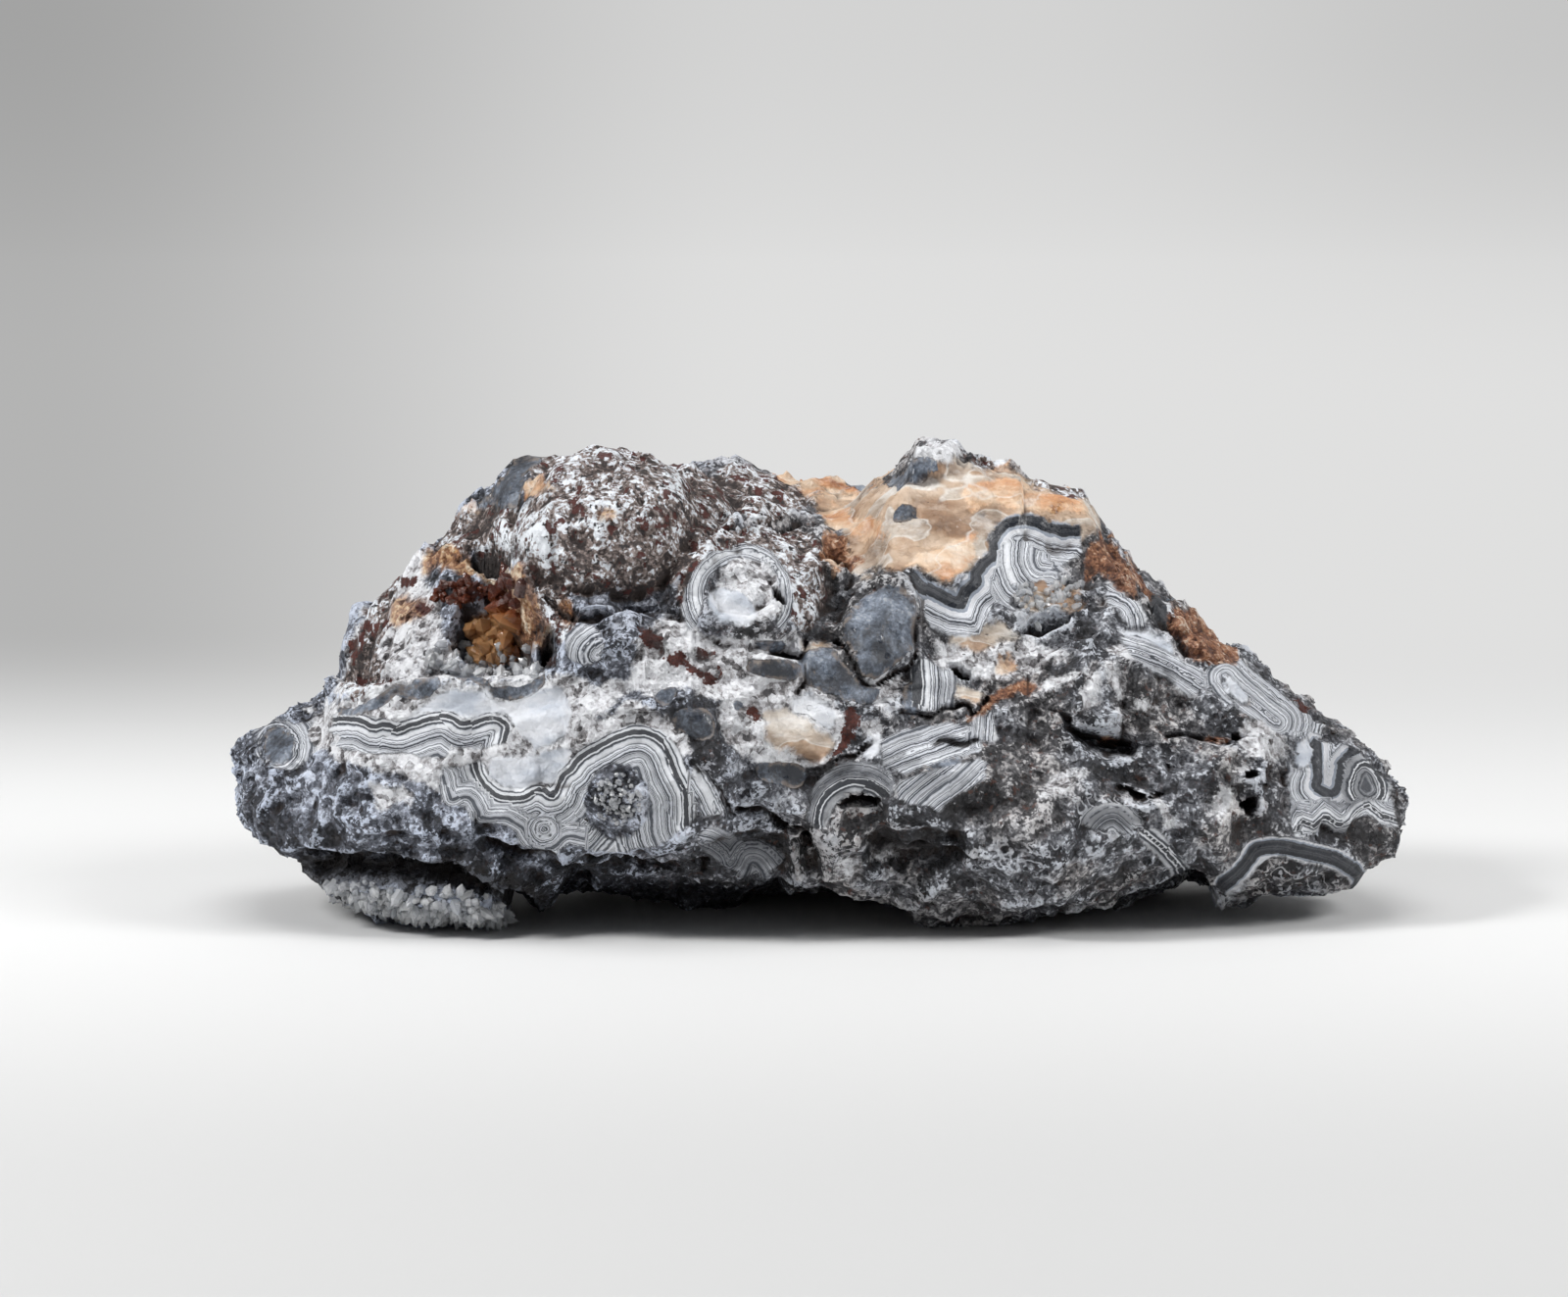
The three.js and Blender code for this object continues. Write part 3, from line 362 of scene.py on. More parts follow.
# Lace bands: the area that each set fills, the line that its layers follow, and the place in the sequence of
# layers, in millimetres, for some distances from that line, to its right as the line is drawn
ZIGZAG = [
    (926, 586), (930, 588), (942, 599), (958, 607), (973, 615), (981, 616), (986, 604), (996, 596),
    (996, 586), (1004, 573), (1014, 567), (1013, 555), (1018, 545), (1029, 533), (1044, 531), (1060, 535),
    (1075, 542), (1090, 544), (1104, 542),
]
LOW_DARK_LINE = [
    (1244, 906), (1262, 891), (1274, 878), (1280, 868), (1294, 864), (1316, 865), (1340, 870), (1362, 876),
    (1380, 886), (1388, 899), (1380, 910),
]
LACES = {
    "left shelf": (
        [(336, 729), (370, 728), (391, 732), (407, 736), (429, 726), (450, 724), (466, 726), (474, 733),
         (499, 726), (519, 729), (525, 742), (518, 760), (504, 762), (488, 765), (461, 764), (456, 773),
         (434, 773), (407, 771), (386, 771), (370, 768), (354, 766), (334, 760), (344, 752), (328, 744),
         (338, 738)],
        [(326, 738), (338, 735), (354, 734), (370, 736), (381, 742), (394, 740), (405, 744), (418, 739),
         (434, 734), (448, 731), (461, 734), (472, 740), (488, 735), (504, 732), (515, 736), (519, 743),
         (514, 760)],
        [(-4, -3.8), (0, 0.2), (5, 5.2)]),
    "left tip": (
        [(262, 742), (284, 732), (304, 738), (320, 734), (316, 750), (326, 764), (310, 780), (296, 786),
         (276, 782), (262, 772)],
        ring(283, 760, 19, 20), [(-4, 6.8), (0, 1.8), (1, 1.4)]),
    "middle arch": (
        [(452, 780), (470, 782), (492, 772), (502, 792), (514, 802), (534, 802), (545, 796), (556, 797),
         (563, 801), (571, 786), (580, 776), (592, 764), (610, 752), (640, 738), (656, 738), (674, 744),
         (688, 757), (697, 772), (706, 790), (714, 812), (708, 836), (690, 852), (668, 864), (640, 870),
         (610, 868), (592, 866), (579, 862), (568, 874), (550, 878), (532, 862), (526, 848), (514, 844),
         (488, 842), (474, 826), (456, 822), (448, 800)],
        [(486, 772), (488, 782), (491, 790), (499, 801), (509, 809), (523, 811), (533, 810), (544, 804),
         (555, 805), (564, 811), (573, 792), (582, 784), (592, 772), (610, 761), (623, 754), (638, 748),
         (653, 746), (668, 750), (679, 759), (686, 772), (692, 787), (699, 800), (703, 812), (704, 840)],
        [(-6, -6), (0, 0), (8, 8)]),
    "arch's lower edge": (
        [(446, 790), (462, 786), (470, 800), (480, 800), (496, 812), (500, 824), (520, 824), (540, 834),
         (546, 846), (556, 856), (566, 854), (576, 844), (596, 846), (596, 864), (579, 861), (568, 873),
         (550, 876), (532, 864), (526, 850), (514, 842), (488, 842), (482, 830), (474, 819), (462, 823),
         (450, 818)],
        [(452, 792), (456, 814), (463, 818), (477, 814), (486, 826), (491, 838), (515, 838), (531, 846),
         (538, 858), (550, 869), (568, 867), (579, 857), (597, 860)],
        [(-2, 2.2), (0, 4), (2, 6)]),
    "small eye": (
        oval(554, 847, 15, 14), ring(555, 846, 9, 9), [(-3, 4.4), (0, 1.2), (0.3, 1.5), (0.9, 2.6)]),
    "arch's right stack": (
        [(709, 776), (722, 786), (744, 812), (742, 830), (716, 832), (706, 800)],
        [(700, 775), (716, 800), (732, 830)], [(-4, 4.6), (0, 1), (4, 5)]),
    "zigzag": (
        [(924, 578), (942, 588), (963, 599), (974, 604), (982, 592), (991, 582), (997, 568), (1006, 562),
         (1006, 548), (1016, 534), (1030, 524), (1050, 522), (1067, 528), (1087, 534), (1104, 533),
         (1104, 562), (1095, 572), (1082, 578), (1076, 596), (1052, 612), (1034, 626), (1014, 618),
         (1008, 632), (1000, 648), (986, 652), (948, 644), (940, 624), (936, 612)],
        ZIGZAG, [(-3, -2.8), (0, 0.2), (9, 9.2)]),
    "fan under the zigzag": (
        [(1024, 557), (1045, 553), (1066, 566), (1080, 588), (1078, 598), (1050, 610), (1036, 624),
         (1022, 614), (1013, 602)],
        [(1030, 548), (1027, 574), (1036, 596), (1054, 608), (1084, 610)], [(-5, 6), (0, 0.9), (5, 6)]),
    "pillar": (
        [(929, 678), (944, 670), (960, 680), (978, 690), (976, 724), (950, 726), (930, 722)],
        [(934, 668), (936, 700), (934, 730)], [(-8, 8), (0, 0), (8, 8)]),
    "white fan": (
        [(1127, 592), (1148, 600), (1164, 614), (1173, 634), (1168, 641), (1154, 640), (1139, 626),
         (1128, 611)],
        [(1130, 590), (1150, 600), (1166, 616), (1174, 642)], [(-3, -2), (0, 0.9), (5, 6)]),
    "dark nodule": (
        [(1171, 608), (1184, 606), (1194, 616), (1192, 640), (1178, 640), (1174, 624)],
        [(1168, 606), (1176, 618), (1178, 642)], [(-2, 0.4), (0, 0.1), (2, 0.45), (4, 3)]),
    "diagonal strip": (
        [(1140, 650), (1160, 646), (1196, 664), (1228, 684), (1236, 702), (1216, 712), (1186, 692),
         (1160, 676)],
        [(1140, 660), (1190, 676), (1232, 704)], [(-3, 5.6), (0, 1.6), (3, 5.6)]),
    "ridge": (
        [(1228, 684), (1240, 676), (1262, 672), (1282, 672), (1302, 690), (1327, 712), (1350, 738),
         (1352, 752), (1330, 758), (1306, 752), (1288, 738), (1268, 730), (1248, 718), (1234, 704)],
        [(1250, 692), (1262, 704), (1302, 737)],
        [(-5, 8.6), (0, 1.6), (5, 8.4)]),
    "right tip": (
        [(1312, 750), (1340, 750), (1368, 758), (1398, 772), (1416, 796), (1426, 822), (1426, 844),
         (1410, 840), (1398, 834), (1388, 832), (1376, 846), (1362, 844), (1350, 840), (1340, 848),
         (1322, 856), (1316, 838), (1314, 810), (1312, 780)],
        [(1344, 758), (1346, 790), (1342, 802), (1350, 806), (1358, 809), (1364, 806), (1368, 790),
         (1373, 776), (1384, 764)],
        [(-6, 7), (0, 0.2), (6, 7)]),
    "tip eye": (
        [(1376, 778), (1394, 770), (1410, 786), (1420, 812), (1412, 822), (1396, 814), (1380, 824),
         (1372, 806)],
        [(1394, 790), (1400, 803), (1396, 810), (1388, 805), (1394, 790)],
        [(-6, 5), (-1.0, 0.2), (-0.6, -0.6), (0.2, -1.8)]),
    "tip scallops": (
        [(1314, 832), (1328, 818), (1342, 824), (1352, 815), (1366, 823), (1376, 824), (1386, 817),
         (1398, 817), (1410, 821), (1428, 825), (1428, 846), (1408, 842), (1397, 832), (1386, 838),
         (1378, 852), (1364, 852), (1352, 842), (1342, 854), (1320, 860)],
        [(1318, 858), (1328, 838), (1341, 844), (1352, 832), (1366, 842), (1376, 841), (1386, 826),
         (1396, 821), (1408, 832), (1428, 838)],
        [(-3, 5.4), (0, 0.2), (2, 4)]),
    "low right": (
        [(1236, 898), (1256, 882), (1266, 862), (1280, 853), (1296, 852), (1320, 853), (1346, 859),
         (1370, 866), (1392, 878), (1401, 898), (1396, 914), (1372, 914), (1376, 900), (1370, 893),
         (1356, 887), (1336, 881), (1314, 877), (1297, 876), (1288, 884), (1276, 896), (1254, 918)],
        LOW_DARK_LINE, [(-1.2, -1.3), (-0.72, -0.36), (0, 0.2), (0.72, 0.76), (1.2, 1.6)]),
    "grey arch": (
        [(820, 834), (828, 808), (840, 788), (858, 778), (880, 775), (907, 781), (917, 800), (907, 814),
         (896, 814), (880, 808), (862, 813), (850, 827), (846, 842), (832, 846)],
        ring(874, 838, 30, 30), [(-5, 5), (-2.0, 2.2), (-1.4, 0.3), (-1.1, 0.1), (0, 1.2)]),
    "plate fan": (
        [(914, 797), (940, 786), (1000, 772), (1010, 778), (1008, 792), (975, 814), (960, 828), (940, 822),
         (914, 816)],
        [(950, 834), (985, 806), (1015, 780)], [(-6, 9.5), (0, 1.4), (2, 4)]),
    "upper plates": (
        [(896, 756), (926, 742), (966, 736), (1000, 742), (1004, 766), (960, 778), (922, 790), (900, 782)],
        [(890, 784), (940, 762), (1010, 740)], [(-6, 9), (0, 1.3), (3, 4.2)]),
    "pale plates": (
        [(990, 728), (1016, 726), (1020, 756), (992, 760)],
        [(1020, 720), (1016, 760)], [(-4, 5), (0, 1), (4, 5)]),
    "low middle": (
        [(708, 852), (722, 842), (744, 846), (752, 856), (770, 854), (790, 860), (804, 876), (790, 890),
         (760, 894), (736, 884), (714, 868)],
        [(704, 852), (712, 856), (728, 862), (740, 872), (745, 880), (752, 866), (766, 860), (784, 866),
         (800, 886)],
        [(-3, 5), (0, 1.6), (3, 5)]),
    "step plates": (
        [(1104, 826), (1130, 816), (1160, 824), (1168, 840), (1150, 850), (1120, 848), (1104, 842)],
        [(1104, 846), (1120, 828), (1140, 824), (1160, 838)], [(-3, 4), (0, 0.8), (3, 4)]),
    "low right stripes": (
        [(1160, 846), (1180, 842), (1216, 884), (1212, 898), (1196, 894), (1166, 860)],
        [(1160, 842), (1190, 868), (1214, 900)], [(-3, 3), (0, 0.2), (3, 3)]),
    "grey lump": (
        oval(596, 657, 22, 24, -10), ring(628, 664, 34, 20, -12), [(-3, 4.5), (0, 1.6), (3, 4)]),
    "nodule ring": (
        [(692, 620), (704, 584), (724, 562), (756, 552), (788, 560), (806, 584), (812, 612), (800, 646),
         (790, 640), (800, 606), (784, 578), (756, 570), (732, 580), (720, 604), (712, 640), (700, 644)],
        ring(755, 606, 46, 44), [(-2, 3.6), (0, 1.0), (2, 3.4)]),
}

# The lace bands whose dark main layer is over a millimetre thick
THICK_LACES = ("zigzag", "low right", "right tip")

# The lace bands whose layers turn sharp corners
SHARP_LACES = ("zigzag", "tip scallops")

# Crevices: the line of each on the map, its half width there, and its depth
CREVICES = [
    ([(853, 657), (864, 677), (881, 694), (898, 698), (914, 690)], 1.3, 1.2),
    ([(924, 727), (950, 730), (983, 725), (993, 732), (1008, 716)], 1.5, 1.2),
    ([(955, 756), (983, 760), (996, 759)], 2.2, 1.4),
    ([(940, 612), (936, 650), (930, 674), (912, 690)], 1.2, 1.0),
    ([(753, 830), (784, 836), (813, 847), (826, 858)], 2.5, 1.6),
    ([(1190, 752), (1221, 753), (1248, 759), (1262, 756), (1276, 750)], 1.1, 0.8),
    ([(1076, 724), (1092, 743), (1119, 755), (1150, 758)], 2.4, 1.8),
    ([(604, 876), (660, 876), (720, 882)], 3.0, 1.6),
    ([(500, 858), (556, 876), (600, 896)], 4.0, 2.0),
    ([(820, 650), (826, 690), (812, 704)], 2.0, 1.2),
    ([(560, 606), (600, 628), (656, 620), (690, 626)], 4.0, 1.2),
    ([(716, 545), (760, 532), (812, 540)], 3.0, 1.2),
    ([(702, 778), (730, 800), (748, 834)], 2.0, 1.0),
    ([(830, 786), (866, 776), (884, 764)], 2.5, 1.4),
    ([(1140, 806), (1166, 816), (1186, 812)], 2.0, 1.6),
    ([(1150, 604), (1172, 610), (1190, 640), (1212, 664)], 2.0, 1.2),
    ([(862, 596), (870, 580), (840, 566)], 2.5, 1.2),
    ([(324, 884), (370, 884), (420, 886), (460, 892), (492, 904)], 8.0, 2.2),
]

# Swellings too small for the solid, where the plain body shows on the map: middle, half sizes, turn and rise
SWELLINGS = [((302, 884), (48, 17), 30, 4.4)]

# Deep holes: middle and half sizes on the map, and depth
HOLES = [
    ((982, 684), (13, 6), 30, 5.0), ((1280, 823), (9, 9), 0, 5.0), ((1277, 794), (9, 4), -20, 2.8),
    ((1163, 815), (12, 5), 15, 3.0), ((504, 565), (22, 14), -10, 5.0), ((798, 668), (17, 4), 6, 2.6),
    ((1086, 734), (6, 4), 40, 2.4), ((800, 604), (6, 9), 0, 3.0), ((554, 664), (8, 16), 12, 4.0),
    ((1262, 753), (7, 5), 0, 2.6), ((1128, 760), (12, 5), 10, 2.2), ((880, 815), (20, 6), -4, 3.0),
]

# Quartz points on the shelf under the left lobe and in the small openings, then in the pocket: for each group
# the outline on the map, how many, the least and greatest radius, and how far they lean
DRUSE_GROUPS = [
    ([(327, 900), (358, 901), (389, 900), (420, 907), (451, 910), (474, 904), (497, 911), (512, 925),
      (536, 933), (501, 943), (466, 940), (435, 938), (400, 932), (368, 924)], 640, (0.26, 0.5), 0.35),
    ([(1034, 598), (1060, 588), (1104, 590), (1100, 628), (1060, 640), (1034, 626)], 60, (0.2, 0.42), 0.5),
    ([(430, 655), (470, 654), (540, 660), (560, 690), (480, 690), (430, 684)], 90, (0.25, 0.55), 0.5),
    (oval(630, 815, 24, 26), 120, (0.12, 0.26), 0.5),
]
POCKET_GROUPS = [
    (oval(471, 606, 30, 12), 55, (0.2, 0.45), 0.6),
    (oval(524, 612, 13, 26), 24, (0.45, 0.95), 0.5),
    (oval(500, 645, 27, 11), 26, (0.45, 0.9), 0.5),
    (oval(512, 667, 26, 8), 20, (0.4, 0.8), 0.5),
]

# Colours as the eye reads them, from 0 to 255, along the ramp of each finish
RAMPS = {
    "grit": [
        (0, 28, 28, 31), (0.26, 54, 55, 60), (0.42, 88, 90, 96), (0.56, 126, 128, 134), (0.68, 168, 170, 176),
        (0.8, 212, 215, 221), (1, 242, 244, 248)],
    "lace": [
        (0, 40, 44, 52), (0.27, 58, 62, 70), (0.3, 218, 221, 228), (0.34, 112, 116, 125), (0.37, 32, 35, 42),
        (0.4, 96, 100, 108), (0.43, 238, 240, 244), (0.46, 168, 172, 180), (0.48, 44, 48, 56),
        (0.51, 224, 227, 233), (0.55, 112, 117, 126), (0.57, 28, 31, 38), (0.6, 110, 115, 124),
        (0.63, 240, 242, 246), (0.67, 84, 89, 99), (0.71, 212, 215, 222), (0.76, 60, 65, 74),
        (1, 170, 174, 183)],
    "chalk": [
        (0, 84, 82, 84), (0.25, 138, 135, 136), (0.45, 184, 182, 184), (0.65, 212, 212, 216),
        (1, 238, 239, 242)],
    "cream": [
        (0, 128, 108, 92), (0.3, 166, 146, 128), (0.5, 190, 174, 158), (0.7, 208, 197, 184),
        (1, 230, 224, 217)],
    "peach": [(0, 168, 102, 60), (0.3, 214, 158, 114), (0.6, 234, 202, 170), (1, 242, 228, 212)],
    "crust": [
        (0, 48, 40, 39), (0.22, 88, 76, 72), (0.42, 130, 116, 110), (0.56, 160, 151, 149),
        (0.68, 208, 212, 219), (1, 236, 240, 245)],
    "slate": [
        (0, 44, 47, 54), (0.3, 72, 78, 88), (0.55, 96, 104, 116), (0.8, 126, 135, 149), (1, 160, 165, 172)],
    "gel": [(0, 150, 158, 172), (0.35, 190, 197, 208), (0.6, 220, 223, 229), (1, 238, 239, 241)],
    "rust": [
        (0, 66, 38, 28), (0.35, 108, 66, 44), (0.6, 146, 98, 68), (0.8, 170, 124, 92), (1, 206, 184, 164)],
    "amber": [
        (0, 58, 34, 24), (0.3, 112, 70, 42), (0.55, 166, 114, 68), (0.8, 204, 162, 112), (1, 232, 208, 174)],
    "red": [(0, 30, 18, 17), (0.35, 62, 28, 23), (0.6, 92, 42, 32), (1, 150, 98, 84)],
    "clear quartz": [(0, 206, 210, 216), (0.5, 236, 238, 241), (1, 252, 253, 254)],
    "amber quartz": [
        (0, 204, 156, 108), (0.3, 176, 112, 66), (0.6, 152, 82, 50), (0.85, 116, 60, 42), (1, 96, 58, 50)],
    # The stage: the floor's colour, towards black for painted shade, and the painted light of its glowing far
    # floor and backdrop
    "floor": [(0, 233.02, 233.02, 232.39), (1, 0, 0, 0)],
    "backdrop": [(0, 0, 0, 0), (1, 255, 255, 254.44)],
}

# The edge of each finish: the depths in millimetres where it begins and where it covers all, and how crinkled
# it is
EDGES = {
    "dark": (-0.6, 1.2, 1),
    "looped": (-0.2, 0.4, 1),
    "chalk": (-0.3, 0.5, 2.2),
    "cream": (-0.3, 0.5, 1.3),
    "peach": (-0.2, 0.3, 1.2),
    "speckled": (-0.2, 0.3, 1),
    "dull": (-0.5, 0.9, 1),
    "slate": (-0.06, 0.06, 0.35),
    "gel": (-0.15, 0.35, 0.8),
    "lace": (-0.05, 0.3, 0.9),
    "rust": (-0.15, 0.3, 1),
    "amber": (-0.3, 0.6, 1),
    "red": (-0.02, 0.16, 2.1),
    "black": (-0.4, 0.6, 1.8),
}

# Bands beside the lace's dark main layer, in its sequence of layers: where each begins and ends, whether it
# goes with a thick main layer, its colour, and how strongly it covers the thin lines
LACE_BANDS = [
    ((0.56, 0.62), (0.8, 0.86), True, (136, 145, 159), 0.85),
    ((0.84, 0.9), (1.2, 1.26), True, (222, 223, 227), 0.85),
    ((0.2, 0.24), (0.36, 0.42), False, (226, 228, 232), 0.85),
    ((0.48, 0.52), (0.6, 0.66), False, (58, 62, 70), 0.85),
    ((0.7, 0.78), (1.05, 1.15), False, (234, 236, 240), 0.75),
]


def smooth(zero_at, one_at, value):
    """0 at one value and 1 at the other, with a smooth way between, whichever is the larger."""
    t = np.clip((value - zero_at) / (one_at - zero_at), 0, 1)
    return t * t * (3 - 2 * t)


def along(outline, x):
    """Value of an outline at x, on straight lines between its points."""
    at, value = zip(*outline)
    return np.interp(x, at, value)


def scrambled(i, j, k):
    """A repeatable 32-bit number for each point of a whole-number lattice."""
    mixed = i * 374761393 + j * 668265263 + k * 1274126177
    h = (mixed & 0xFFFFFFFF).astype(np.uint32)
    h = (h ^ (h >> np.uint32(13))) * np.uint32(1274126177)
    return h ^ (h >> np.uint32(16))


def noise(p, wavelength):
    """Smooth noise from -1 to 1: lattice values blended over each cell, bumps about one wavelength apart."""
    q = p / wavelength
    cell = np.floor(q).astype(np.int64)
    t = q - cell
    t = t * t * (3 - 2 * t)
    total = np.zeros(len(p))
    for corner in range(8):
        step = np.array([corner & 1, (corner >> 1) & 1, corner >> 2])
        weight = np.prod(np.where(step, t, 1 - t), axis=1)
        total += weight * (scrambled(*(cell + step).T) / 2.0**31 - 1)
    return total


def layered_noise(p, wavelength, layers):
    """Noise summed over halved wavelengths, each half as strong as the last."""
    total, strength, whole = np.zeros(len(p)), 1.0, 0.0
    for _ in range(layers):
        total += strength * noise(p, wavelength)
        whole += strength
        p = p + 17.3
        wavelength, strength = wavelength / 2, strength / 2
    return total / whole


def spread(h):
    """Three values from -1 to 1 out of each scrambled number, ten bits each."""
    shifts = np.array([0, 10, 20], dtype=np.uint32)
    return ((h[:, None] >> shifts) & np.uint32(1023)) / 511.5 - 1


def chips(p, size, offset):
    """Broken facets about one size apart: the lowest of the tilted, dished plates of the near cells."""
    q = (p + offset) / size
    cell = np.floor(q).astype(np.int64)
    lowest = np.full(len(p), np.inf)
    for step in np.ndindex(3, 3, 3):
        home = cell + np.array(step) - 1
        jitter, slant = spread(scrambled(*home.T)), spread(scrambled(*(home + 101).T))
        from_seed = q - home - 0.5 - 0.38 * jitter
        tilt = (from_seed * slant).sum(1)
        height = 0.35 * jitter[:, 0] + 0.9 * tilt + 0.6 * (from_seed**2).sum(1)
        lowest = np.minimum(lowest, height)
    return lowest + 0.35


def on_map(p):
    """Place on the face's map of each point."""
    forward = np.array([0, math.cos(EYE_RISE), -math.sin(EYE_RISE)])
    upward = np.array([0, math.sin(EYE_RISE), math.cos(EYE_RISE)])
    d = p - (AIM - forward * EYE_DISTANCE)
    reach = EYE_DISTANCE / (d @ forward)
    return MAP_MIDDLE + MAP_STEPS * np.column_stack([d[:, 0] * reach, -(d @ upward) * reach])


def turned(offset, degrees):
    """Offsets on the map measured along axes turned clockwise by some degrees."""
    c, s = math.cos(math.radians(degrees)), math.sin(math.radians(degrees))
    x, y = offset.T
    return np.column_stack([x * c + y * s, y * c - x * s])


def from_middle(at, middle, half, turn):
    """Distance of each place on the map from the middle of an oval, which is 1 on the oval itself."""
    return np.sqrt(((turned(at - middle, turn) / half) ** 2).sum(1))


def from_span(a, b, at):
    """Each place's squared distance from one span of a line, and how far it lies to the right of its way."""
    edge, offset = b - a, at - a
    share = np.clip(offset @ edge / (edge @ edge), 0, 1)
    far = ((offset - share[:, None] * edge) ** 2).sum(1)
    return far, (edge[0] * offset[:, 1] - edge[1] * offset[:, 0]) / np.linalg.norm(edge)


def depth_inside(outline, at):
    """How far inside a closed outline each place is: the distance to its nearest edge, under 0 outside."""
    corners = np.array(outline, float)
    nearest, inside = np.full(len(at), np.inf), np.zeros(len(at), bool)
    for a, b in zip(corners, np.roll(corners, -1, axis=0)):
        far, beside = from_span(a, b, at)
        nearest = np.minimum(nearest, far)
        spans = (a[1] <= at[:, 1]) != (b[1] <= at[:, 1])
        inside ^= spans & (beside * (1 if b[1] > a[1] else -1) > 0)
    return np.where(inside, 1, -1) * np.sqrt(nearest)


def offset_from(line, at):
    """Signed distance of each place from an open line: more than 0 to its right as it is drawn."""
    nearest, side = np.full(len(at), np.inf), np.zeros(len(at))
    for a, b in zip(line[:-1], line[1:]):
        far, beside = from_span(a, b, at)
        closer = far < nearest
        nearest = np.where(closer, far, nearest)
        side = np.where(closer, beside, side)
    return np.sign(side) * np.sqrt(nearest)


def offset_with_corners(line, at):
    """Signed distance of each place from the straight line through its nearest span, the farther of the two
    where a corner is nearest, so that lines beside it keep sharp corners."""
    nearest, side = np.full(len(at), np.inf), np.zeros(len(at))
    for a, b in zip(line[:-1], line[1:]):
        far, beside = from_span(a, b, at)
        shared_corner = (np.abs(far - nearest) < 1e-6) & (np.abs(beside) > np.abs(side))
        side = np.where((far < nearest - 1e-6) | shared_corner, beside, side)
        nearest = np.minimum(nearest, far)
    return side


def rounded(line):
    """A line with its corners rounded: each span becomes four on the cubic through its ends and their
    neighbours."""
    p = np.array(line, float)
    closed = np.allclose(p[0], p[-1])
    before, after = (p[-2], p[1]) if closed else (2 * p[0] - p[1], 2 * p[-1] - p[-2])
    q = np.vstack([before, p, after])
    t = np.arange(4)[:, None, None] / 4
    a, b, c, d = q[:-3], q[1:-2], q[2:-1], q[3:]
    bend = (2 * a - 5 * b + 4 * c - d) * t**2 + (3 * b - a - 3 * c + d) * t**3
    cubic = (2 * b + (c - a) * t + bend) / 2
    return np.vstack([cubic.transpose(1, 0, 2).reshape(-1, 2), p[-1:]])


def near_outline(outline, at, margin=12):
    """Which places lie in the box of an outline, widened by a margin."""
    corners = np.array(outline, float)
    return ((at > corners.min(0) - margin) & (at < corners.max(0) + margin)).all(1)


def body_field(p):
    """How far outside the plain body a point is: a superellipse round each cross-section, under 0 inside."""
    x, y, z = p.T
    front, back = along(FRONT_REACH, x), along(BACK_REACH, x)
    back_share = smooth(-12, 12, y)
    bottom = along(FRONT_UNDERSIDE, x) * (1 - back_share) + along(BACK_UNDERSIDE, x) * back_share
    top = along(CREST, x)
    waist = bottom + (top - bottom) * WAIST
    up = np.where(z > waist, (z - waist) / (top - waist), (z - waist) / (waist - bottom))
    lean = LEAN * np.clip(up, -1, 1) * np.minimum(-front, back) / 28
    deep = np.where(y < lean, (lean - y) / -front, (y - lean) / back)
    foot = np.where(y < lean, FOOT_SQUARENESS, BACK_FOOT_SQUARENESS)
    squareness = np.where(up > 0, SIDE_SQUARENESS, foot)
    field = deep**squareness + np.abs(up) ** squareness - 1
    return np.where(np.abs(x) >= LENGTH / 2, 1.0, field)


def rays(share, turn):
    """The rays that carry the surface: straight out from a level spine, fanning out past its two ends."""
    cap_length = SPINE_END * CAP_SHARE
    travelled = (share - 0.5) * 2 * (SPINE_END + cap_length)
    x = np.clip(travelled, -SPINE_END, SPINE_END)
    tilt = (travelled - x) / cap_length * (math.pi / 2)
    start = np.column_stack([x, np.zeros_like(x), along(SPINE_HEIGHT, x)])
    way = np.column_stack([np.sin(tilt), -np.cos(tilt) * np.cos(turn), np.cos(tilt) * np.sin(turn)])
    return start, way


def body_distance(start, way):
    """Distance along each ray to the plain body's surface, by halving."""
    near, far = np.zeros(len(way)), np.full(len(way), LENGTH)
    for _ in range(HALVINGS):
        middle = (near + far) / 2
        inside = body_field(start + way * middle[:, None]) < 0
        near, far = np.where(inside, middle, near), np.where(inside, far, middle)
    return near


def break_distance(start, way):
    """Distance along each ray to the first flat break."""
    least = np.full(len(way), np.inf)
    for faces, at in BREAKS:
        normal = np.array(faces) / np.linalg.norm(faces)
        speed = way @ normal
        reached = (at - start @ normal) / np.where(speed > 1e-6, speed, 1)
        least = np.minimum(least, np.where(speed > 1e-6, reached, np.inf))
    return least


def dome_rise(p, at, facing):
    """Height of the highest dome over each point: each one's rise times the square root of 1 - r * r."""
    highest = np.zeros(len(p))
    for middle, half, turn, rise in FACE_DOMES.values():
        inward = np.maximum(1 - from_middle(at, middle, half, turn) ** 2, 0)
        highest = np.maximum(highest, rise * np.sqrt(inward) * facing)
    for middle, half, rise in BACK_LUMPS.values():
        inward = np.maximum(1 - (((p - middle) / half) ** 2).sum(1), 0)
        highest = np.maximum(highest, rise * np.sqrt(inward))
    return highest


def swelling_rise(at):
    """Height of the swellings at each place on the map: each one's rise, fading out past its edge."""
    highest = np.zeros(len(at))
    for middle, half, turn, rise in SWELLINGS:
        highest = np.maximum(highest, rise * smooth(1.2, 0.5, from_middle(at, middle, half, turn)))
    return highest


def hollow_depth(at):
    """How deep the hollows go at each place on the map: each one's depth, reached one rim inside it."""
    deepest = np.zeros(len(at))
    for outline, rim, depth in HOLLOWS.values():
        deepest = np.maximum(deepest, depth * smooth(0, rim, depth_inside(outline, at)))
    return deepest


def roughness(p):
    """Broad swells and three sizes of broken facets."""
    return noise(p, 13) * 0.8 + chips(p, 9.5, 0) * 2.2 + chips(p, 4.7, 50) * 1.3 + chips(p, 2.3, 90) * 0.7


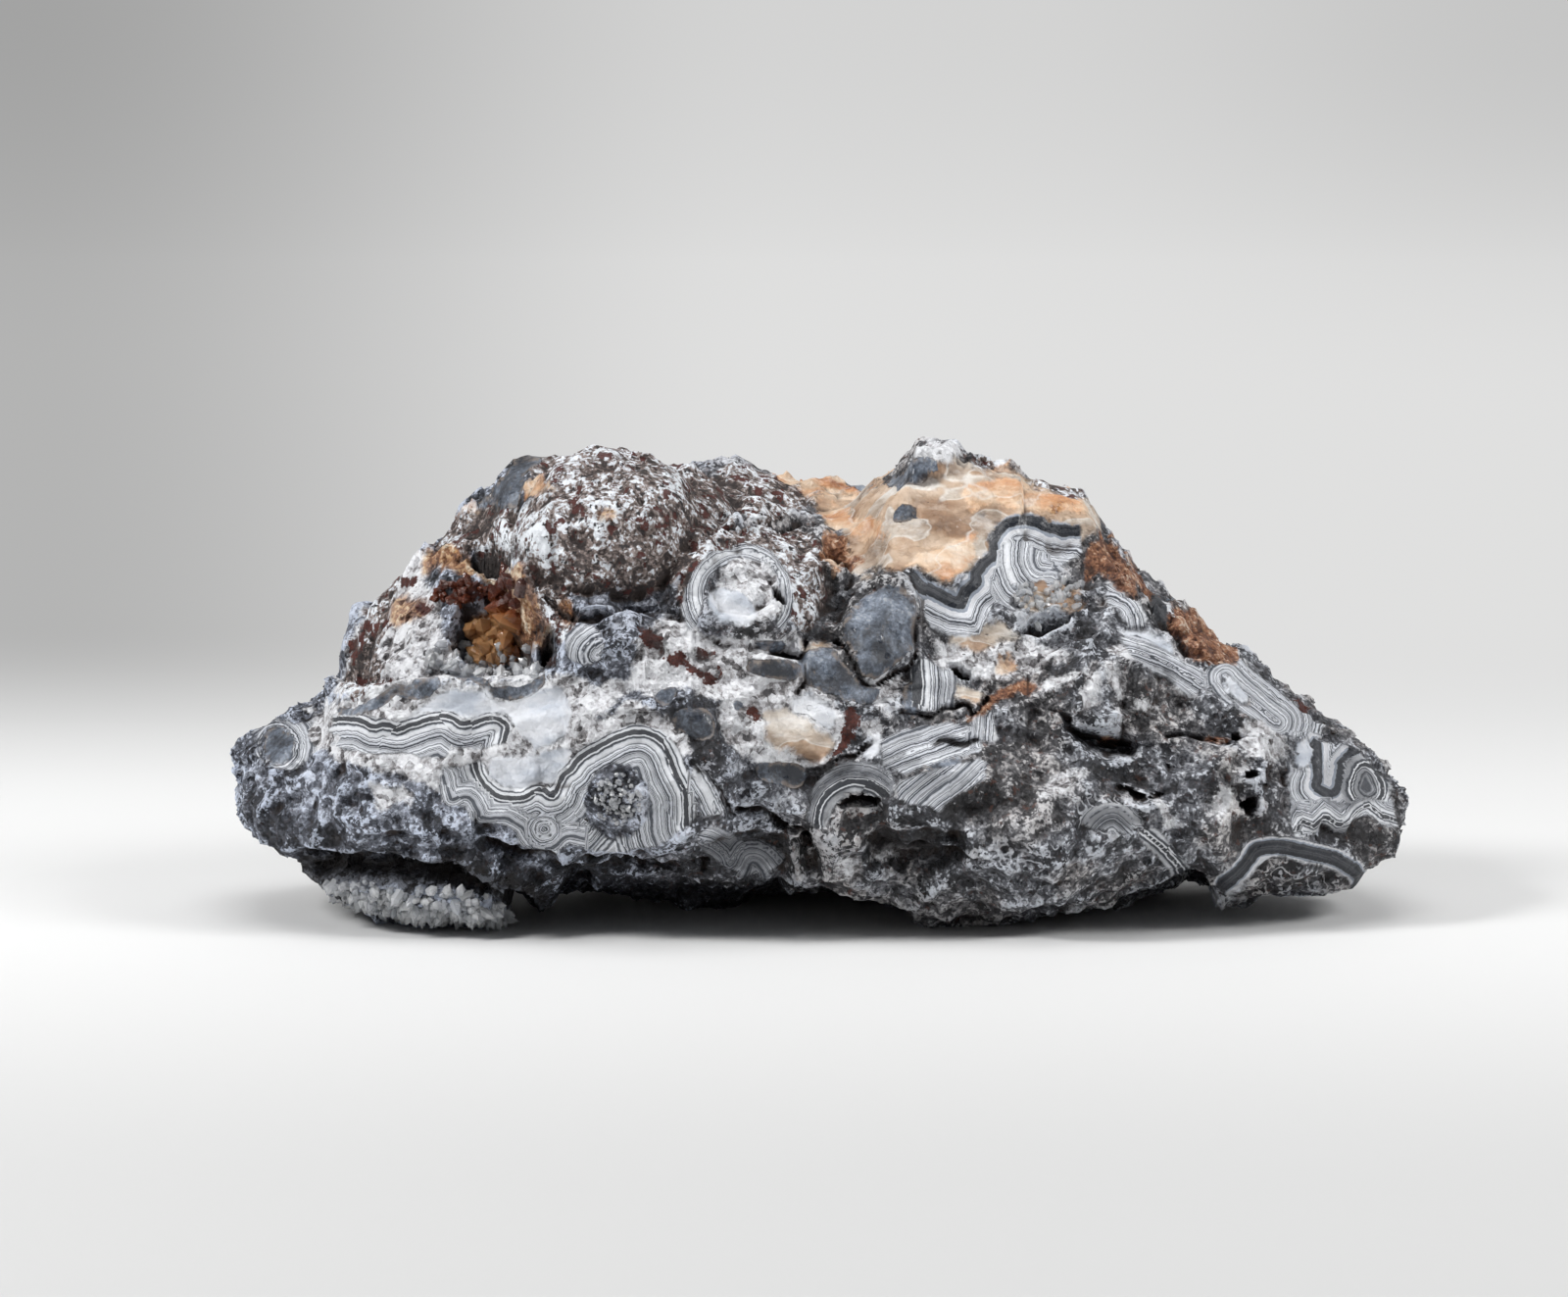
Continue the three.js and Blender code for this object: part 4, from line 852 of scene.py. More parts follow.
def wander(p, reach):
    """Crooked steps on the map that bend drawn lines and outlines: two sizes of noise, up to the reach."""
    right = noise(p + 201, 2.6) + 0.5 * noise(p + 211, 1.1)
    down = noise(p + 221, 2.6) + 0.5 * noise(p + 231, 1.1)
    return reach / 1.5 * np.column_stack([right, down])


def crevice_depth(p, place):
    """How deep the crooked crevices and the holes go: each crevice is now wide, now narrow."""
    at = place + wander(p, 9)
    width = 1 + 0.8 * noise(p + 241, 4)
    deepest = np.zeros(len(at))
    for line, half, depth in CREVICES:
        near = near_outline(line, at)
        away = np.abs(offset_from(rounded(line), at[near]))
        reach = half * width[near]
        cut = depth * width[near] * smooth(reach + 3, reach * 0.2, away)
        deepest[near] = np.maximum(deepest[near], cut)
    for middle, half, turn, depth in HOLES:
        deepest = np.maximum(deepest, depth * smooth(1.15, 0.5, from_middle(at, middle, half, turn)))
    return deepest


def patch_depth(outlines, at):
    """Depth in millimetres inside the deepest of some outlines, and the same everywhere far outside them."""
    deepest = np.full(len(at), FAR_OUTSIDE)
    for outline in outlines:
        near = near_outline(outline, at)
        deepest[near] = np.maximum(deepest[near], depth_inside(outline, at[near]) / MAP_STEPS)
    return deepest


def lace_layers(at):
    """Depth inside the lace areas, each place's layer, which is its distance from its area's line through its
    steps, and whether that area's main layer is thick."""
    deepest, layer, thick = np.full(len(at), FAR_OUTSIDE), np.zeros(len(at)), np.zeros(len(at))
    for name, (area, line, steps) in LACES.items():
        near = near_outline(area, at)
        depth = depth_inside(area, at[near]) / MAP_STEPS
        if name in SHARP_LACES:
            away = offset_with_corners(np.array(line, float), at[near])
        else:
            away = offset_from(rounded(line), at[near])
        covered = depth > -0.3
        layer[near] = np.where(covered, along(steps, away / MAP_STEPS), layer[near])
        thick[near] = np.where(covered, name in THICK_LACES, thick[near])
        deepest[near] = np.maximum(deepest[near], depth)
    for window in LACE_WINDOWS:
        near = near_outline(window, at)
        deepest[near] = np.minimum(deepest[near], -depth_inside(window, at[near]) / MAP_STEPS)
    return deepest, layer, thick


def finish_fields(p, at, facing):
    """Signed depth in millimetres of each finish, and the lace layer: drawn on the map on the face, and noise
    round the back."""
    swell, drift = noise(p + 31, 15), noise(p + 77, 19)
    high = smooth(16, 34, p[:, 2])
    right = high * smooth(0, 25, p[:, 0])
    saddle = high * smooth(9, 4, np.abs(p[:, 0] - 4 + 5 * noise(p + 83, 6)))
    nowhere = np.full(len(p), FAR_OUTSIDE)
    behind = {
        "chalk": layered_noise(p + 5, 9, 3) * 4 - 0.6,
        "cream": (drift - 0.62 + 0.3 * right) * 6,
        "peach": (drift - 0.8 + 0.35 * right + 1.5 * saddle) * 6,
        "speckled": (swell - 0.2 + 0.55 * high - 2 * saddle) * 5,
        "slate": (noise(p + 11, 8) - 0.55) * 5,
        "gel": (noise(p + 43, 10) - 0.62) * 5,
        "rust": (noise(p + 63, 12) - 0.6) * 5,
        "red": (noise(p + 91, 5) - 0.8) * 3,
        "dull": noise(p + 71, 7) * 3,
        "amber": nowhere,
        # Round the back the dark patches lie lower down: darker towards the bottom
        "dark": (noise(p + 57, 11) + 0.25 - high) * 3,
        "looped": (noise(p + 47, 9) - 0.6) * 4,
        "black": nowhere,
        "lace": (noise(p + 23, 13) - 0.3) * 6,
    }
    strayed = at + wander(p, 9)
    drawn = {name: patch_depth(outlines, strayed) for name, outlines in PATCHES.items()}
    drawn["lace"], layer, thick = lace_layers(at + wander(p, 1.5))
    fields = {}
    for name, depth in drawn.items():
        fields[name] = depth * facing + np.clip(behind[name], FAR_OUTSIDE, 3) * (1 - facing)
    layer_behind = noise(p + 7, 15) * 10 + noise(p + 3, 3.5) * 0.8
    fields["layer"] = np.where(facing > 0.5, layer, layer_behind)
    fields["thick"] = thick * (facing > 0.5)
    return fields


def fine_relief(p, at, fields, facing):
    """Broken grain that fades on the smooth finishes, small steps along the lace layers, and the crevices. It
    adds how broken each point is to the fields."""
    sleek = smooth(-0.2, 0.5, np.maximum.reduce([fields[name] for name in ("lace", "slate", "gel")]))
    waxy, crust, powder = (smooth(-0.2, 0.6, fields[name]) for name in ("cream", "speckled", "chalk"))
    broken = (1 - 0.85 * sleek) * (1 - 0.6 * waxy) * (1 - 0.55 * crust) * (1 - 0.35 * powder)
    fields["broken"] = broken
    grain = chips(p, 1.15, 130) * 0.85 + noise(p + 9, 1.7) * 0.25 + noise(p + 19, 0.85) * 0.2
    ledges = chips(p * [1, 1, 1.9], 3.4, 170) * 1.5
    pits = -0.5 * smooth(0.15, 0.6, noise(p + 29, 1.6)) * crust
    steps = 0.12 * np.sin(fields["layer"] * 4.2) * smooth(0, 0.4, fields["lace"])
    lumps = noise(p + 39, 2.6) * 0.3 * crust
    return (grain + ledges) * broken + pits + steps + lumps - crevice_depth(p, at) * facing


def stone_surface(share, turn):
    """For shares of the stone's length and turns round its spine: its points, their distances along their
    rays, and its finishes there."""
    start, way = rays(share, turn)
    plain = np.minimum(body_distance(start, way), break_distance(start, way))
    p = start + way * plain[:, None]
    at = on_map(p)
    forward = -way[:, 1]
    facing = smooth(-0.15, 0.2, forward)
    drawn = smooth(-0.5, -0.2, forward + 0.2 * noise(p + 61, 7))
    dug = smooth(-0.05, 0.5, forward)
    rough = plain + roughness(p) + dome_rise(p, at, facing) - hollow_depth(at) * dug
    rough = rough + np.minimum(swelling_rise(at), hollow_depth(at)) * dug
    outer = on_map(start + way * rough[:, None])
    fields = finish_fields(p, outer, drawn)
    rough = rough + fine_relief(p, outer, fields, facing)
    downward = way[:, 2] < 0
    floor = np.where(downward, start[:, 2] / np.where(downward, -way[:, 2], 1), np.inf)
    reached = np.minimum(rough, floor)
    fields["facing"] = facing
    return start + way * reached[:, None] + BOX_SHIFT, reached, fields


def standing_proud(reached, spread_over):
    """How far each point of the grid stands out past the mean of the square of points round it."""
    grid = reached[:-2].reshape(STATIONS, ROUND_POINTS)
    offsets = range(-spread_over, spread_over + 1)
    across = sum(np.roll(grid, k, axis=1) for k in offsets)
    padded = np.pad(across, ((spread_over, spread_over), (0, 0)), mode="edge")
    total = sum(padded[spread_over + k:spread_over + k + STATIONS] for k in offsets)
    return np.append((grid - total / len(offsets) ** 2).ravel(), [0.0, 0.0])


def closed_grid(stations, around):
    """Faces of a grid closed round each ring, with a fan at each end: the two end points come last."""
    ring_points = np.arange(around)
    after = (ring_points + 1) % around
    rows = np.arange(stations - 1)[:, None] * around
    corners = [rows + ring_points, rows + around + ring_points, rows + around + after, rows + after]
    first, last = stations * around, stations * around + 1
    top = (stations - 1) * around
    start_fan = np.column_stack([np.full(around, first), ring_points, after])
    end_fan = np.column_stack([np.full(around, last), top + after, top + ring_points])
    return np.stack(corners, axis=-1).reshape(-1, 4), np.vstack([start_fan, end_fan])


def new_mesh_object(name, points, face_groups, smooth_shading=True):
    """A mesh object at the origin, from points in millimetres and arrays of faces."""
    mesh = bpy.data.meshes.new(name)
    faces = [face for group in face_groups for face in group.tolist()]
    mesh.from_pydata((points * MM).tolist(), [], faces)
    if smooth_shading:
        mesh.shade_smooth()
    thing = bpy.data.objects.new(name, mesh)
    bpy.context.scene.collection.objects.link(thing)
    return thing


def add_attributes(thing, fields):
    """Writes one named number per point of a mesh for each field."""
    for name, values in fields.items():
        attribute = thing.data.attributes.new(name, "FLOAT", "POINT")
        attribute.data.foreach_set("value", np.asarray(values, dtype=np.float32))


def make_stone():
    """The stone, its points and its fields: its surface over a grid of stations and turns, crowded on the
    broken face, with one more point at each end."""
    share = (np.arange(STATIONS) + 0.5) / STATIONS
    even = np.arange(ROUND_POINTS) / ROUND_POINTS * 2 * math.pi
    turn = even - FRONT_CROWDING * np.sin(even - CROWDED_TURN)
    share_grid = np.append(np.repeat(share, ROUND_POINTS), [0.0, 1.0])
    turn_grid = np.append(np.tile(turn, STATIONS), [0.0, 0.0])
    points, reached, fields = stone_surface(share_grid, turn_grid)
    fields["proud"] = standing_proud(reached, 2)
    fields["broad_proud"] = standing_proud(reached, 8)
    quads, fans = closed_grid(STATIONS, ROUND_POINTS)
    stone = new_mesh_object("lace_agate", points, (quads, fans))
    sleek_faces = np.append(fields["broken"][quads].mean(1) < 0.5, np.zeros(len(fans), bool))
    stone.data.polygons.foreach_set("use_smooth", sleek_faces)
    add_attributes(stone, fields)
    return stone, points, fields


def surface_normals(thing):
    """The outward normal at each point of a mesh."""
    normals = np.empty(len(thing.data.vertices) * 3, dtype=np.float32)
    thing.data.vertex_normals.foreach_get("vector", normals)
    return normals.reshape(-1, 3).astype(float)


def make_grains(points, normals, fields, random):
    """Broken quartz grains on the rough finishes: octahedra with uneven corners, half sunk, that take on the
    finish of their place, each a little lighter or darker than it."""
    chance = np.clip(fields["broken"] - 0.3, 0, 1) * (points[:, 2] > 1.4)
    chosen = random.choice(len(points), GRAIN_COUNT, p=chance / chance.sum())
    size = 0.15 + 0.34 * random.uniform(0, 1, GRAIN_COUNT) ** 2.5
    turn, _ = np.linalg.qr(random.normal(size=(GRAIN_COUNT, 3, 3)))
    turn *= np.sign(np.linalg.det(turn))[:, None, None]
    corners = np.array([[1, 0, 0], [-1, 0, 0], [0, 1, 0], [0, -1, 0], [0, 0, 1], [0, 0, -1]], float)
    longer = random.uniform(0.6, 1.3, (GRAIN_COUNT, GRAIN_CORNERS, 1))
    uneven = corners * longer + random.normal(0, 0.16, (GRAIN_COUNT, GRAIN_CORNERS, 3))
    middle = points[chosen] - normals[chosen] * size[:, None] * 0.5
    placed = np.einsum("nij,nkj->nki", turn, uneven) * size[:, None, None] + middle[:, None]
    sides = np.array([[0, 2, 4], [2, 1, 4], [1, 3, 4], [3, 0, 4], [2, 0, 5], [1, 2, 5], [3, 1, 5], [0, 3, 5]])
    faces = sides[None] + np.arange(GRAIN_COUNT)[:, None, None] * GRAIN_CORNERS
    grains = new_mesh_object("quartz_grains", placed.reshape(-1, 3), [faces.reshape(-1, 3)], False)
    taken = {name: np.repeat(values[chosen], GRAIN_CORNERS) for name, values in fields.items()}
    taken["proud"] = taken["proud"] + np.repeat(random.normal(0, 0.22, GRAIN_COUNT), GRAIN_CORNERS)
    add_attributes(grains, taken)
    return grains


def crystal_points(base, way, radius, length, spin):
    """Six-sided points: for each crystal a ring at its foot, a ring at its shoulder and a tip, 13 points in
    all."""
    way = way / np.linalg.norm(way, axis=1)[:, None]
    helper = np.where(np.abs(way[:, 2:3]) < 0.8, [[0.0, 0.0, 1.0]], [[1.0, 0.0, 0.0]])
    side = np.cross(helper, way)
    side /= np.linalg.norm(side, axis=1)[:, None]
    other = np.cross(way, side)
    angle = spin[:, None] + np.arange(6) * math.pi / 3
    round_it = np.cos(angle)[..., None] * side[:, None] + np.sin(angle)[..., None] * other[:, None]
    foot = (base - way * length[:, None] * 0.35)[:, None] + round_it * radius[:, None, None] * 1.05
    shoulder = (base + way * length[:, None] * 0.5)[:, None] + round_it * radius[:, None, None]
    tip = (base + way * length[:, None])[:, None]
    return np.concatenate([foot, shoulder, tip], axis=1).reshape(-1, 3)


def crystal_faces(count):
    """Faces of that many crystals: their six sides, their six tip faces and their feet, as three groups."""
    i = np.arange(6)
    j = (i + 1) % 6
    start = np.arange(count)[:, None, None] * CRYSTAL_CORNERS
    sides = np.column_stack([i, j, j + 6, i + 6])[None] + start
    tips = np.column_stack([i + 6, j + 6, np.full(6, 12)])[None] + start
    feet = np.arange(5, -1, -1)[None] + start[:, 0]
    return sides.reshape(-1, 4), tips.reshape(-1, 3), feet


def plant(random, points, normals, where, count, sizes, tilt):
    """Crystals on chosen points of the surface, clear of the floor: their points, from seeded draws of place,
    size, tilt and spin."""
    chosen = random.choice(np.flatnonzero(where & (points[:, 2] > 1.0)), count)
    radius = random.uniform(*sizes, count)
    length = radius * random.uniform(1.6, 3.0, count)
    way = normals[chosen] + random.normal(0, tilt, (count, 3))
    base = points[chosen] + random.normal(0, 0.12, (count, 3))
    planted = crystal_points(base, way, radius, length, random.uniform(0, math.pi / 3, count))
    return np.maximum(planted, [-LENGTH, -LENGTH, 0.02])


def make_crystals(name, groups, points, normals, fields, random):
    """The crystals of some groups as one mesh: the object and its points."""
    at = on_map(points - BOX_SHIFT)
    planted = []
    for outline, count, sizes, tilt in groups:
        where = (fields["facing"] > 0.3) & (depth_inside(outline, at) > 0)
        planted.append(plant(random, points, normals, where, count, sizes, tilt))
    corners = np.vstack(planted)
    return new_mesh_object(name, corners, crystal_faces(len(corners) // CRYSTAL_CORNERS), False), corners


class Link:
    """An output socket of a node tree. Sums, products and the like of links and numbers add Math nodes."""

    def __init__(self, tree, socket):
        self.tree, self.socket = tree, socket

    def node(self, kind, settings, inputs, output=0):
        """Adds a node: its settings first, then the values or links of its sockets, and gives one output."""
        return add_node(self.tree, kind, settings, inputs, output)

    def maths(self, operation, *others):
        """The result of a Math node on this value and others."""
        values = dict(enumerate((self,) + others))
        return self.node("ShaderNodeMath", {"operation": operation}, values)

    def vector_maths(self, operation, other, output=0):
        """The result of a Vector Math node on this vector and another."""
        return self.node("ShaderNodeVectorMath", {"operation": operation}, {0: self, 1: other}, output)

    def __add__(self, other):
        return self.maths("ADD", other)

    def __sub__(self, other):
        return self.maths("SUBTRACT", other)

    def __rsub__(self, other):
        return self * -1 + other

    def __mul__(self, other):
        return self.maths("MULTIPLY", other)

    __radd__ = __add__
    __rmul__ = __mul__

    def between(self, low, high):
        """0 at one value and 1 at the other, with a smooth way between."""
        inputs = {"Value": self, "From Min": low, "From Max": high}
        return self.node("ShaderNodeMapRange", {"interpolation_type": "SMOOTHSTEP"}, inputs)

    def ramp(self, name):
        """The colour of one of the RAMPS at this value."""
        return self.node("ShaderNodeValToRGB", {"stops": RAMPS[name]}, {0: self})

    def mixed_into(self, other, factor):
        """This colour with the other laid over it by a factor."""
        return self.node("ShaderNodeMix", {"data_type": "RGBA"}, {0: factor, 6: self, 7: other}, 2)

    def tinted(self, other, factor):
        """This colour multiplied by the other, by a factor."""
        settings = {"data_type": "RGBA", "blend_type": "MULTIPLY"}
        return self.node("ShaderNodeMix", settings, {0: factor, 6: self, 7: other}, 2)

    def noise(self, wavelength, detail=2.0, rough=0.5, stretch=None):
        """Soft noise round 0.5 with bumps about one wavelength apart, on a vector in millimetres."""
        at = self.stretched(stretch) if stretch else self
        inputs = {"Vector": at, "Scale": 1 / wavelength, "Detail": detail, "Roughness": rough}
        return self.node("ShaderNodeTexNoise", {}, inputs)

    def cells(self, size, output="Distance"):
        """Grains of about one size: the distance to the middle of the nearest, or its own random colour."""
        return self.node("ShaderNodeTexVoronoi", {}, {"Vector": self, "Scale": 1 / size}, output)

    def facets(self, size):
        """Flat broken facets: their height, from the offset from each grain's middle times its own slope, and
        each grain's random number."""
        middle = self.cells(size, "Position")
        own = Link(self.tree, middle.socket.node.outputs["Color"])
        slope = own.moved_by((-0.5, -0.5, -0.5))
        height = self.vector_maths("SUBTRACT", middle).vector_maths("DOT_PRODUCT", slope, "Value")
        return height, own.part("X")

    def stretched(self, scales):
        """This vector multiplied by another."""
        return self.vector_maths("MULTIPLY", scales)

    def moved_by(self, other):
        """This vector with another added."""
        return self.vector_maths("ADD", other)

    def part(self, name):
        """One of the three numbers of a colour or vector."""
        return self.node("ShaderNodeSeparateXYZ", {}, {0: self}, name)


def colour(red, green, blue):
    """A colour as the eye reads it, from 0 to 255, turned into the shader's linear one."""
    read = np.array([red, green, blue]) / 255
    linear = np.where(read <= 0.04, read / 12.92, ((read + 0.055) / 1.055) ** 2.4)
    return (*linear.tolist(), 1)


def add_node(tree, kind, settings, inputs, output=0):
    """Adds a node to a tree, with its settings set before its sockets, and gives one of its outputs."""
    node = tree.nodes.new(kind)
    for name, value in settings.items():
        if name == "stops":
            set_stops(node.color_ramp, value)
        else:
            setattr(node, name, value)
    for name, value in inputs.items():
        if isinstance(value, Link):
            tree.links.new(value.socket, node.inputs[name])
        else:
            node.inputs[name].default_value = value
    return Link(tree, node.outputs[output])


def set_stops(ramp, stops):
    """Gives a colour ramp its stops, each a place from 0 to 1 and a colour as the eye reads it."""
    while len(ramp.elements) < len(stops):
        ramp.elements.new(1.0)
    for element, (place, *read) in zip(ramp.elements, stops):
        element.position = place
        element.color = colour(*read)


def new_material(name):
    """An empty material with a Principled shader: the material, its tree and the shader."""
    material = bpy.data.materials.new(name)
    material.use_nodes = True
    return material, material.node_tree, material.node_tree.nodes["Principled BSDF"]


def millimetres(tree):
    """The piece's own coordinates in millimetres."""
    return add_node(tree, "ShaderNodeTexCoord", {}, {}, "Object").stretched((1000, 1000, 1000))


def attribute(tree, name):
    """The number that each point of the mesh has under a name."""
    return add_node(tree, "ShaderNodeAttribute", {"attribute_name": name}, {}, "Fac")


class Textures:
    """What the agate's finishes share: the place in millimetres, noises and grains, the mesh's fields, and
    how much each finish covers, inside its own crinkled edge."""

    def __init__(self, tree):
        at = self.at = millimetres(tree)
        self.swell = at.noise(5.5, 4, 0.6)
        self.cloud = at.moved_by((5, 9, 6)).noise(3.6, 6, 0.7)
        self.mottle = at.noise(3.4, 5, 0.65)
        self.smear = at.moved_by((6, 1, 3)).noise(3.2, 4, 0.55, (0.5, 1, 1.3))
        self.powder = at.moved_by((9, 4, 2)).noise(2.4, 6, 0.72)
        self.dust = at.noise(1.5, 6, 0.74)
        self.edge = at.noise(1.3, 4, 0.62)
        self.grain = at.noise(0.32, 3, 0.6)
        push = at.node("ShaderNodeTexNoise", {}, {"Vector": at, "Scale": 1.4, "Detail": 3.0}, "Color")
        shaken = at.moved_by(push.stretched((0.35, 0.35, 0.35)))
        self.small_facets, self.cell = shaken.facets(0.62)
        self.large_facets, self.plate = shaken.facets(2.4)
        self.speck = shaken.cells(0.32, "Color").part("Z")
        self.layer, self.thick = attribute(tree, "layer"), attribute(tree, "thick")
        self.proud, self.broad_proud = attribute(tree, "proud"), attribute(tree, "broad_proud")
        self.slate_depth = attribute(tree, "slate")
        warp = (self.edge - 0.5) * 1.1 + (self.grain - 0.5) * 0.45
        self.cover = {}
        for name, (low, high, crinkled) in EDGES.items():
            self.cover[name] = (attribute(tree, name) + warp * crinkled).between(low, high)

    def sway(self, middle, **weights):
        """A value that sways round its middle by how far some textures are from 0.5, times their weights."""
        for name, weight in weights.items():
            middle = middle + (getattr(self, name) - 0.5) * weight
        return middle


def grit_value(t):
    """How light the broken quartz is: grains of several sizes, lighter where they stand out."""
    value = t.sway(0.44, cell=0.36, speck=0.32, plate=0.3, grain=0.5, swell=0.5, cloud=1.0)
    # Darker under the dark patches: dark rock, and painted shade on undersides and in holes
    value = value + t.proud * 0.36 - t.cover["dark"] * 0.26 - t.cover["looped"] * 0.12
    return value + t.at.part("X").between(-22, -38) * 0.05


def grit_colour(t, value):
    """Broken grey quartz, with pale looped veins, frost on what stands out, and warm and cold stains."""
    at, x = t.at, t.at.part("X")
    surface = value.ramp("grit")
    loops = (at.moved_by((1, 6, 2)).noise(4.2, 2, 0.55) * 9 + (t.grain - 0.5) * 0.5).maths("PINGPONG", 0.5)
    vein = 1 - loops.between(0.05, 0.15)
    surface = surface.mixed_into(colour(204, 207, 214), vein * (t.cover["looped"] * 0.8 + 0.04))
    frost = t.sway(t.proud * 1.1, powder=2.2, swell=1.2, speck=0.8, cell=0.4, grain=2.0)
    # Less frost under the dark patches, which are partly painted shade
    frost = frost + t.broad_proud * 0.25 - t.cover["dark"] * 0.35
    surface = surface.mixed_into(colour(218, 223, 232), frost.between(0.44, 0.66) * 0.72)
    warm = (at.moved_by((3, 8, 1)).noise(7, 3) - 0.4).between(0, 0.2) * x.between(-30, 0)
    surface = surface.tinted(colour(232, 218, 202), warm * 0.55)
    ember = at.moved_by((7, 3, 5)).noise(0.8, 3, 0.6).between(0.6, 0.66)
    surface = surface.mixed_into(colour(92, 58, 46), ember * (warm * 0.5 + 0.15))
    return surface.tinted(colour(234, 241, 255), x.between(5, -25) * 0.7)


def cream_and_peach(t):
    """Waxy chalcedony in flowing smears, as two colours: cream with tinted tides, and peach, both with pale
    wisps and threads."""
    wisps = t.at.moved_by((2, 6, 6)).noise(2.2, 6, 0.68, (0.5, 1, 1.5)).between(0.5, 0.66)
    tide = t.at.moved_by((9, 1, 6)).noise(5.5, 2.5, 0.45, (0.6, 1, 1.4))
    thread = 1 - (tide - 0.515).maths("ABSOLUTE").between(0.002, 0.016)
    cream = (t.smear * 2.2 - 0.6 + t.proud * 0.4).ramp("cream")
    cream = cream.mixed_into(colour(234, 232, 230), wisps * 0.4)
    cream = cream.tinted(colour(238, 208, 178), tide.between(0.5, 0.54) * 0.7)
    cream = cream.mixed_into(colour(240, 238, 234), thread * 0.4)
    peach = t.sway(t.smear * 2.0 - 0.5, grain=0.3).ramp("peach")
    peach = peach.mixed_into(colour(240, 232, 222), wisps * 0.3)
    return cream, peach.mixed_into(colour(244, 240, 236), thread * 0.35)


def crust_colour(t):
    """Speckled crust: white dust over brown, with red and dark pits. It gives the colour and the pits."""
    lit = t.sway(0.49, dust=2.5, speck=0.6, cell=0.5, swell=1.5) + t.proud * 0.4 + t.broad_proud * 0.14
    # Darker under the dull and the dark patches; the dark ones are partly painted shade
    lit = lit - t.cover["dull"] * 0.25 - t.cover["dark"] * 0.1
    red_pit = t.at.moved_by((4, 4, 9)).noise(1.5, 3, 0.6).between(0.585, 0.61)
    dark_pit = t.at.moved_by((8, 2, 5)).noise(0.9, 3, 0.6).between(0.61, 0.64)
    crust = lit.ramp("crust").mixed_into(colour(44, 40, 42), dark_pit)
    return crust.mixed_into(colour(76, 30, 23), red_pit * 0.96), red_pit + dark_pit


def slate_colour(t):
    """Smooth mottled blue-grey nodules, with a tan rim and tan dust."""
    # Darker under the dark patches: painted shade on the nodules' lit tops, and dark rock
    mottled = t.sway(t.cover["dark"] * -0.24 + 0.47, mottle=3.2, grain=0.9, speck=0.3)
    rim = 1 - (t.slate_depth + (t.edge - 0.5) * 1.6).between(0.05, 0.5)
    dust = t.dust - 0.5
    tan = rim * dust.between(-0.06, 0.06) * 0.6 + dust.between(0.1, 0.2) * 0.45
    return mottled.ramp("slate").mixed_into(colour(138, 124, 112), tan)


def lace_colour(t):
    """Thin layers: the lace's ramp over noise in the layer's place alone, bands, and a dark main layer, thin
    or thick."""
    fault = t.at.moved_by((2, 5, 7)).cells(5.5, "Color").part("X") - 0.5
    place = t.layer + (t.at.noise(0.8, 3, 0.6) - 0.5) * 0.3 + fault * 0.3
    inputs = {"W": place * 0.62 + 11.3, "Scale": 1.0, "Detail": 2.0, "Roughness": 0.6}
    lines = place.node("ShaderNodeTexNoise", {"noise_dimensions": "1D"}, inputs).ramp("lace")
    away = (place - 0.2).maths("ABSOLUTE")
    for begins, ends, with_thick, read, strength in LACE_BANDS:
        among = t.thick if with_thick else 1 - t.thick
        band = away.between(*begins) * (1 - away.between(*ends)) * among
        lines = lines.mixed_into(colour(*read), band * strength)
    main = 1 - (away - t.thick * 0.34).between(0.2, 0.27)
    lines = lines.mixed_into(colour(31, 34, 41), main * 0.94)
    pale_rim = away.between(0.2, 0.24) * (1 - away.between(0.36, 0.42)) * (1 - t.thick)
    # Dimmed under the dark patches: dark rock, and painted shade on undersides and in holes
    dimmed = t.cover["dark"] * (1 - pale_rim) * (1 - t.thick * 0.6)
    return lines.mixed_into(colour(44, 47, 54), dimmed * 0.72)


